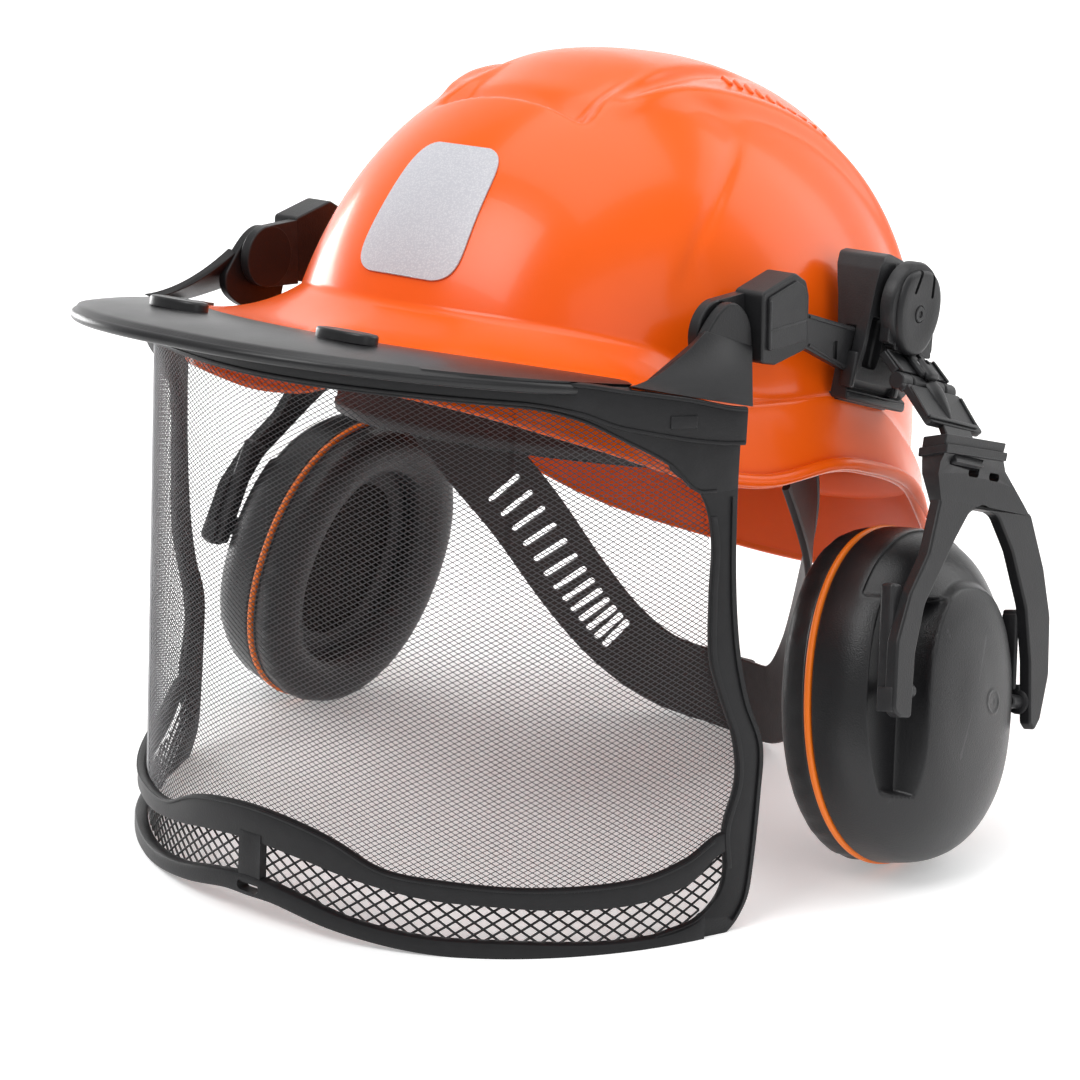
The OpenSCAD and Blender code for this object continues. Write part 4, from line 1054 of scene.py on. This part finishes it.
    # upper plate
    ap = obj(f"arm_upper_{side}", join(plate(jA, jB - np.array([1.9, 0, -1.5]), 15.4, 17, 2.8)), "arm_" + side, "black_abs", ["arm_plate_" + side], S, bevel=0.5)
    P = on_plate(jA, jB, 0, 0, 2.8)
    loop = [xform(P, rbox((5.4, 0.5, 1.2), (11.5, 9.4, 2.4), 0.9)), xform(P, rbox((8.6, 0.5, 2.0), (8.5, 6.4, 3.4), 1.3)),
            xform(P, rbox((5.2, -14.2, 0.3), (9.6, 1.3, 1.0), 0.4)), xform(P, rbox((5.2, 15.3, 0.3), (9.6, 1.3, 1.0), 0.4))]
    lo = obj(f"arm_loop_{side}", join(*loop), "arm_" + side, "black_abs", (), S, smooth=40)
    cut(lo, [xform(P, rbox((3.6, 0.5, 2.4), (8.6, 3.4, 3.4), 1.1))], S)
    kn = [lathe([(-10, 2.5), (-9.6, 2.9), (9.6, 2.9), (10, 2.5)], 40, "y", jB)]
    ko = obj(f"arm_knuckle_{side}", join(*kn), "arm_" + side, "black_abs", (), S, smooth=35)
    # lower plate with its tapered spike and outer knuckles
    p0 = jB + np.array([2.2, 0, -2.2])
    fl = obj(f"flip_lower_{side}", join(plate(p0, jC, 17, 17, 2.8, 1.5)), "flip_" + side, "black_abs", ["flip_plate_" + side], S, bevel=0.5)
    Q = on_plate(p0, jC, 0, 0, 2.8)
    L = np.linalg.norm((jC - p0)[[0, 2]])
    sp = []
    prof_sp = [(-1.5, 3.3, 2.4), (1, 3.5, 2.9), (4, 3.2, 2.7), (8, 2.4, 2.0), (11, 1.6, 1.3), (13.2, 0.7, 0.5)]
    for x, hw, hh in prof_sp:
        a = np.linspace(0, np.pi, 13)
        sp.append([[x, hw * math.cos(t), hh * math.sin(t) - 0.4 + 0.0] for t in a])
    spike = skin(np.array(sp))
    d = [xform(Q, spike), xform(Q, rbox((L * 0.5, -16.0, 0.3), (L - 3, 1.2, 0.9), 0.4)), xform(Q, rbox((L * 0.5, 16.0, 0.3), (L - 3, 1.2, 0.9), 0.4)), xform(Q, rbox((L - 1.6, 0, 0.4), (1.4, 31, 1.0), 0.4))]
    for s in (-1, 1):
        d.append(lathe([(-3.2, 2.5), (-2.8, 2.9), (2.8, 2.9), (3.2, 2.5)], 36, "y", jB + np.array([0, s * 14, 0])))
        d.append(xform(m4(np.column_stack([[0.8, 0, -0.6], [0, 1, 0], [0.6, 0, 0.8]]), jB + np.array([1.9, s * 14, -1.5])), rbox((0, 0, 0), (4.0, 6.2, 2.8), 0.7)))
    tq = skin([jC - tdir * 0.6 + np.array([0, y, 0]) + tnor * k for y, k in ()] or [[jC - tdir * 0.6 + np.array([0, -9, 0]), jC - tdir * 0.6 + np.array([0, 9, 0]), jC - tdir * 0.6 + np.array([0, 9, 0]) + tnor * 2.4, jC - tdir * 0.6 + np.array([0, -9, 0]) + tnor * 2.4],
              [jC + tdir * 13 + np.array([0, -9, 0]), jC + tdir * 13 + np.array([0, 9, 0]), jC + tdir * 13 + np.array([0, 9, 0]) + tnor * 2.4, jC + tdir * 13 + np.array([0, -9, 0]) + tnor * 2.4]])
    obj(f"flip_details_{side}", join(*d), "flip_" + side, "black_abs", (), S, smooth=40)
    obj(f"flip_tongue_{side}", tq, "flip_" + side, "black_abs", (), S, bevel=0.5)
    obj(f"flip_axle_{side}", lathe([(-16.9, 1.1), (-16.6, 1.5), (16.6, 1.5), (16.9, 1.1)], 32, "y", jB), "arm_" + side, "pin_steel", ["flip_pin_" + side], S, smooth=35)
    # leaf spring, bowed over the hinge
    n = np.array([0.625, 0, 0.781])
    rs = []
    for t in np.linspace(0.2, 0.9, 17):
        c = jA + (jB - jA) * t + n * (3.3 + 1.3 * math.sin(math.pi * (t - 0.2) / 0.7))
        rs.append([c + np.array([0, -4, 0]), c + np.array([0, 4, 0]), c + np.array([0, 4, 0]) + n * 0.7, c + np.array([0, -4, 0]) + n * 0.7])
    obj(f"leaf_spring_{side}", skin(rs), "arm_" + side, "pin_steel", ["flip_spring_" + side], S, bevel=0.15)

# ------------------------------------------------------------------ yoke
YK = [[-24,64],[-30,45],[-40,31],[-46.4,15],[-46.6,-7],[-43,-9],[-36.4,-9],[-35.6,12],[-31,28],[-14,51],[-6,60.5],[2,63],[12,61],[22,50],[32,32],[36,14],[37.6,-7],[40.8,-9.6],[44.4,-5.4],[49,10],[48.4,30],[43,46],[33,64]]
for side, M in SIDES:
    C = M @ CUPF
    body = f"yoke_{side}_body"
    rr = [2, 8, 8, 8, 3, 1.5, 2, 10, 10, 12, 8, 8, 8, 12, 10, 10, 2, 1.5, 3, 10, 10, 10, 3]
    yo = obj(f"yoke_fork_{side}", prism(fillet(YK, rr, 6), 16.9, 21.4), body, "black_abs", ["yoke_" + side], C, bevel=0.9, seg=3)
    # head: neck flare, then a two-step collar bar
    neck = skin([[[16.9,-24.1,62],[16.9,33,62],[21.4,33,62],[21.4,-24.1,62]], [[16.0,-25,66],[16.0,28.6,66],[21.2,28.6,66],[21.2,-25,66]], [[14.6,-26,71.4],[14.6,22,71.4],[21,22,71.4],[21,-26,71.4]], [[14.4,-26,75],[14.4,14.6,75.6],[21.6,14.6,76.2],[21.6,-26,75.2]], [[14.4,-26,77.4],[14.4,9.6,78.6],[23.6,9.6,80],[23.6,-26,78.8]]])
    nk = obj(f"yoke_neck_{side}", neck, body, "black_abs", (), C, bevel=0.6, seg=2, angle=30)
    cut(nk, [rbox((20, y, 73.6), (20, 6.4, 2.6), 1.2, 4) for y in (-5, 8)], C)
    d = []
    col1 = skin([[[13.6,-27.4,76.8],[13.6,10.2,78],[24.6,10.2,79.2],[24.6,-27.4,78]], [[13.9,-27.7,79.8],[13.9,10.3,81],[25.0,10.3,82],[25.0,-27.7,80.8]]])
    col2 = skin([[[14.6,-27.0,79.4],[14.6,9.9,80.6],[23.6,9.9,81.6],[23.6,-27.0,80.4]], [[15.2,-27.2,83.4],[15.2,10,84.4],[24.4,10,85.2],[24.4,-27.2,84.2]]])
    co = obj(f"yoke_collar_{side}", join(col1), body, "black_abs", (), C, bevel=0.9, seg=3, angle=30)
    co2 = obj(f"yoke_lip_{side}", join(col2), body, "black_abs", (), C, bevel=0.7, seg=3, angle=30)
    tg = skin([[jC - tdir * 8 + np.array([0, s, 0]) - tnor * 0.4 + tnor * k for s, k in ((-9.4, 0), (9.4, 0), (9.4, 3.2), (-9.4, 3.2))],
               [jC + tdir * 20 + np.array([0, s, 0]) - tnor * 0.4 + tnor * k for s, k in ((-9.4, 0), (9.4, 0), (9.4, 3.2), (-9.4, 3.2))]])
    for q in (co, co2, nk):
        cut(q, [tg], M @ SIDE)
    # prong ends: front bracket with its square boss; rear hook
    d += [rbox((15.0, -41.8, 13.5), (5.2, 5.6, 41), 1.2, 3), rbox((17.3, -45.6, -3.4), (6.0, 2.4, 8), 0.6),
          rbox((14.4, -40.0, 31.0), (4.0, 7.0, 3.2), 0.9)]
    d += [rbox((14.6, 33.4, 17), (6.0, 2.0, 26), 0.8), rbox((14.6, 36.2, 30), (6.0, 7.0, 2.6), 0.9), rbox((14.6, 38.0, 4.5), (6.0, 3.0, 3.0), 0.9)]
    for s in (-1, 1):
        d.append(lathe([(-3.6, 3.7), (-3.2, 4.2), (3.2, 4.2), (3.6, 3.7)], 40, "y", (16.6, s * 40, 0)))
        d.append(lathe([(-3.5, 2.0), (-3.1, 2.4), (3.5, 2.4)], 32, "y", (16.6, s * 34.2, 0)))
    obj(f"yoke_details_{side}", join(*d), body, "black_abs", (), C, smooth=40)

# ------------------------------------------------------------------ cups
CB, CH, CK = 47.6, 56.5, 2.15
NT = 288
th = np.linspace(0, 2 * np.pi, NT, endpoint=False)
cprof = [[0, -9.6], [0.4, -3], [1.6, 3], [4.6, 9], [9.5, 14], [16, 18], [25, 20.8], [40, 22.4], [47.6, 22.7]]  # inset -> x


def oval(x, b, h, t=th):
    b, h = max(b, 0.02), max(h, 0.02)
    return np.column_stack([np.full(len(t), x) if np.isscalar(x) else x, b * spw(np.cos(t), 2 / CK), h * spw(np.sin(t), 2 / CK)])


def cup_relief(x, y, z):
    ay = np.abs(y)
    rho = ((np.abs(y - 2.5) / 27.0) ** 2.6 + (np.maximum(0, z + 6) / 42.5) ** 2.3) ** (1 / 2.45)
    out = sstep(((rho - 1) * 27.0 + 0.6) / 1.9)
    low = sstep((z + 34.2) / 1.8)
    mid = sstep((31.5 - z) / 2.2)
    pocket = np.maximum(0, x - 8.6)
    h = -out * low * (mid * pocket + (1 - mid) * np.minimum(2.6, np.maximum(0, x - 2)))
    # shallow bead round each pocket's lower end
    bead = np.exp(-((z + 35.2) / 0.8) ** 2) * sstep((ay - 30) / 2) * sstep((x - 9) / 1)
    h = h + 0.7 * bead
    # small plain mould ring
    rr = np.hypot(y - 12, z + 1)
    h = h + 0.28 * np.exp(-((rr - 3.9) / 0.42) ** 2) - 0.2 * np.exp(-((rr) / 0.9) ** 2)
    return h


ins = np.concatenate([np.linspace(0, 6, 22), np.linspace(6.4, 32, 84), np.linspace(32.6, 47.0, 22)])
for side, M in SIDES:
    C = M @ CUPF
    body = f"cup_{side}_body"
    R = [oval(-10.8, CB - 2.8, CH - 2.8), oval(-10.8, CB - 0.9, CH - 0.9), oval(-10.5, CB - 0.35, CH - 0.35), oval(-9.9, CB - 0.02, CH - 0.02)]
    for q in ins:
        x = curve1(cprof, q)
        k = q / CB
        b, h = CB - q, (CH - q) if q < 30 else (CH - 30) * (CB - q) / (CB - 30)
        p = oval(x, b, h)
        p[:, 0] += cup_relief(p[:, 0], p[:, 1], p[:, 2])
        R.append(p)
    inner = [oval(5.7, 0.5, 0.6), oval(5.7, 18, 24), oval(5.7, 33, 42), oval(5.2, 38, 47), oval(2.5, 42, 50.6), oval(0, 43.5, 52), oval(-10, CB - 2.8, CH - 2.8)]
    obj(f"cup_shell_{side}", skin(R[::-1] + inner[::-1]), body, "cup_black", ["cup_" + side], C, smooth=60)
    rg = [(-13.25, 0.2), (-12.9, -0.25), (-12.2, -0.45), (-11.5, -0.25), (-11.05, 0.2), (-11.05, 5), (-13.25, 5)]
    obj(f"cup_seam_ring_{side}", skin([oval(x, CB - o + 0.1, CH - o + 0.1) for x, o in rg], closed=True), body, "ring_orange", ["cup_ring_" + side], C, smooth=50)
    pl = [(-12.9, CB - 5.4, CH - 5.4), (-11.3, CB - 5.4, CH - 5.4), (-11.3, 22.4, 31.4), (-11.6, 22, 31), (-12.6, 22, 31), (-12.9, 22.4, 31.4)]
    obj(f"cup_back_plate_{side}", skin([oval(x, b, h) for x, b, h in pl], closed=True), body, "black_abs", ["cup_plate_" + side], C, smooth=50)
    # foam liner: dished face with shallow lobes
    F = [oval(5, 20, 28), oval(4.6, 30, 39), oval(1, 34.6, 43.6), oval(-8, 35, 44), oval(-10.4, 33.6, 42.6)]
    for k in (0.9, 0.75, 0.6, 0.45, 0.3, 0.15, 0.02):
        p = oval(-10.8 + 3.4 * (1 - k) ** 0.7 * 1.6, 33.6 * k, 42.6 * k)
        p[:, 0] += 0.35 * np.sin(p[:, 1] * 0.55) * np.cos(p[:, 2] * 0.5)
        F.append(p)
    fo = obj(f"cup_liner_{side}", skin(F), body, "foam_dark", ["cup_foam_" + side], C, smooth=60)
    # cushion: crowned ring, welded seams, slight slack between stitches
    sec = [(-13.45, 1.0), (-13.9, 0.5), (-15.0, 0.15), (-17.5, -0.25), (-20.5, -0.1), (-22.8, 0.9), (-24.4, 2.6), (-25.3, 5.2), (-25.6, 8.4), (-25.3, 11.8), (-24.3, 14.8), (-22.4, 17.0), (-19.6, 18.3), (-16.6, 18.8), (-14.4, 18.6), (-13.5, 17.8)]
    K = []
    for x, o in sec:
        p = oval(x, CB - 0.6 - o, CH - 0.6 - o)
        w = 0.16 * np.sin(th * 26 + 1.0) + 0.12 * np.sin(th * 41 + 2.2) + 0.1 * np.sin(th * 9)
        g = math.exp(-((x + 19.5) / 4.0) ** 2)
        rad = p[:, 1:] / np.linalg.norm(p[:, 1:], axis=1)[:, None]
        p[:, 1:] += rad * (w * g * (1 if o < 9 else -1.4))[:, None]
        K.append(p)
    cu = obj(f"cup_cushion_{side}", skin(K, closed=True), body, "cushion_skin", ["cushion_" + side], C, smooth=70, subsurf=1)
    seam = np.array([np.concatenate([[-14.0], q[1:]]) for q in oval(-14.0, CB - 0.95, CH - 0.95)])
    obj(f"cushion_seam_{side}", tube(seam, 0.45, 8, closed=True), body, "cushion_skin", (), C)

# ------------------------------------------------------------------ stage, light, camera
fl = bpy.data.meshes.new("floor")
R = []
for y, z in ((-3.0, 0), (1.2, 0), (1.7, 0.05), (2.1, 0.25), (2.35, 0.6), (2.45, 1.1), (2.45, 4.0)):
    R.append([[-5, y, z], [5, y, z]])
th_ = math.radians(39.7)
v, f = skin(R, caps=False, wrap=False)
v = v @ np.array([[math.cos(th_), math.sin(th_), 0], [-math.sin(th_), math.cos(th_), 0], [0, 0, 1]])
fl.from_pydata(v.tolist(), [], f)
for p in fl.polygons:
    p.use_smooth = True
floor = bpy.data.objects.new("studio_floor", fl)
bpy.context.scene.collection.objects.link(floor)
sm = floor.modifiers.new("s", "SUBSURF"); sm.levels = sm.render_levels = 3
fm = bpy.data.materials.new("floor_white"); fm.use_nodes = True
fb = fm.node_tree.nodes["Principled BSDF"]
fb.inputs["Base Color"].default_value = (0.93, 0.93, 0.93, 1)
fb.inputs["Roughness"].default_value = 0.6
fb.inputs["Specular IOR Level"].default_value = 0.2
fb.inputs["Emission Color"].default_value = (1, 1, 1, 1)
fb.inputs["Emission Strength"].default_value = 0.3
fl.materials.append(fm)

w = bpy.data.worlds.new("w") if bpy.context.scene.world is None else bpy.context.scene.world
bpy.context.scene.world = w
w.use_nodes = True
w.node_tree.nodes["Background"].inputs["Color"].default_value = (1, 1, 1, 1)
w.node_tree.nodes["Background"].inputs["Strength"].default_value = 0.44
tgt = Vector((0, YS * MM, 0.0984))
az, el = math.radians(39.7), math.radians(16.29)
rv = Vector((math.cos(az), math.sin(az), 0))
dv = Vector((-math.sin(az) * math.cos(el), math.cos(az) * math.cos(el), -math.sin(el)))
uv = rv.cross(dv)


def area(name, pos, size, power, col=(1, 1, 1), size_y=None, look=None):
    l = bpy.data.lights.new(name, "AREA")
    l.shape = "RECTANGLE"
    l.size, l.size_y, l.energy, l.color = size, size_y or size, power, col
    o = bpy.data.objects.new(name, l)
    p = tgt + rv * pos[0] + dv * pos[1] + Vector((0, 0, pos[2]))
    o.location = p
    o.rotation_euler = ((look or tgt) - p).to_track_quat("-Z", "Y").to_euler()
    bpy.context.scene.collection.objects.link(o)
    return o


area("key", (-0.9, -0.9, 1.5), 1.1, 20, size_y=0.9)
area("top", (0.1, 0.1, 1.7), 1.6, 13, size_y=1.2)
area("rim", (1.4, 0.5, 1.0), 0.9, 8, size_y=1.4)
area("sheen", (-1.3, 1.35, 0.55), 0.9, 16, size_y=0.6)
area("fill", (0.8, -1.4, 0.5), 1.2, 4, size_y=1.0)
cam = bpy.data.cameras.new("cam")
co_ = bpy.data.objects.new("cam", cam)
bpy.context.scene.collection.objects.link(co_)
cam.lens, cam.sensor_width, cam.sensor_fit = 105.0, 36.0, "HORIZONTAL"
cam.clip_start, cam.clip_end = 0.05, 20
co_.location = tgt - dv * (1060.3 * 1.04 * MM)
co_.rotation_euler = Matrix((rv, uv, -dv)).transposed().to_euler()
bpy.context.scene.camera = co_
bpy.context.scene.view_settings.view_transform = "Standard"
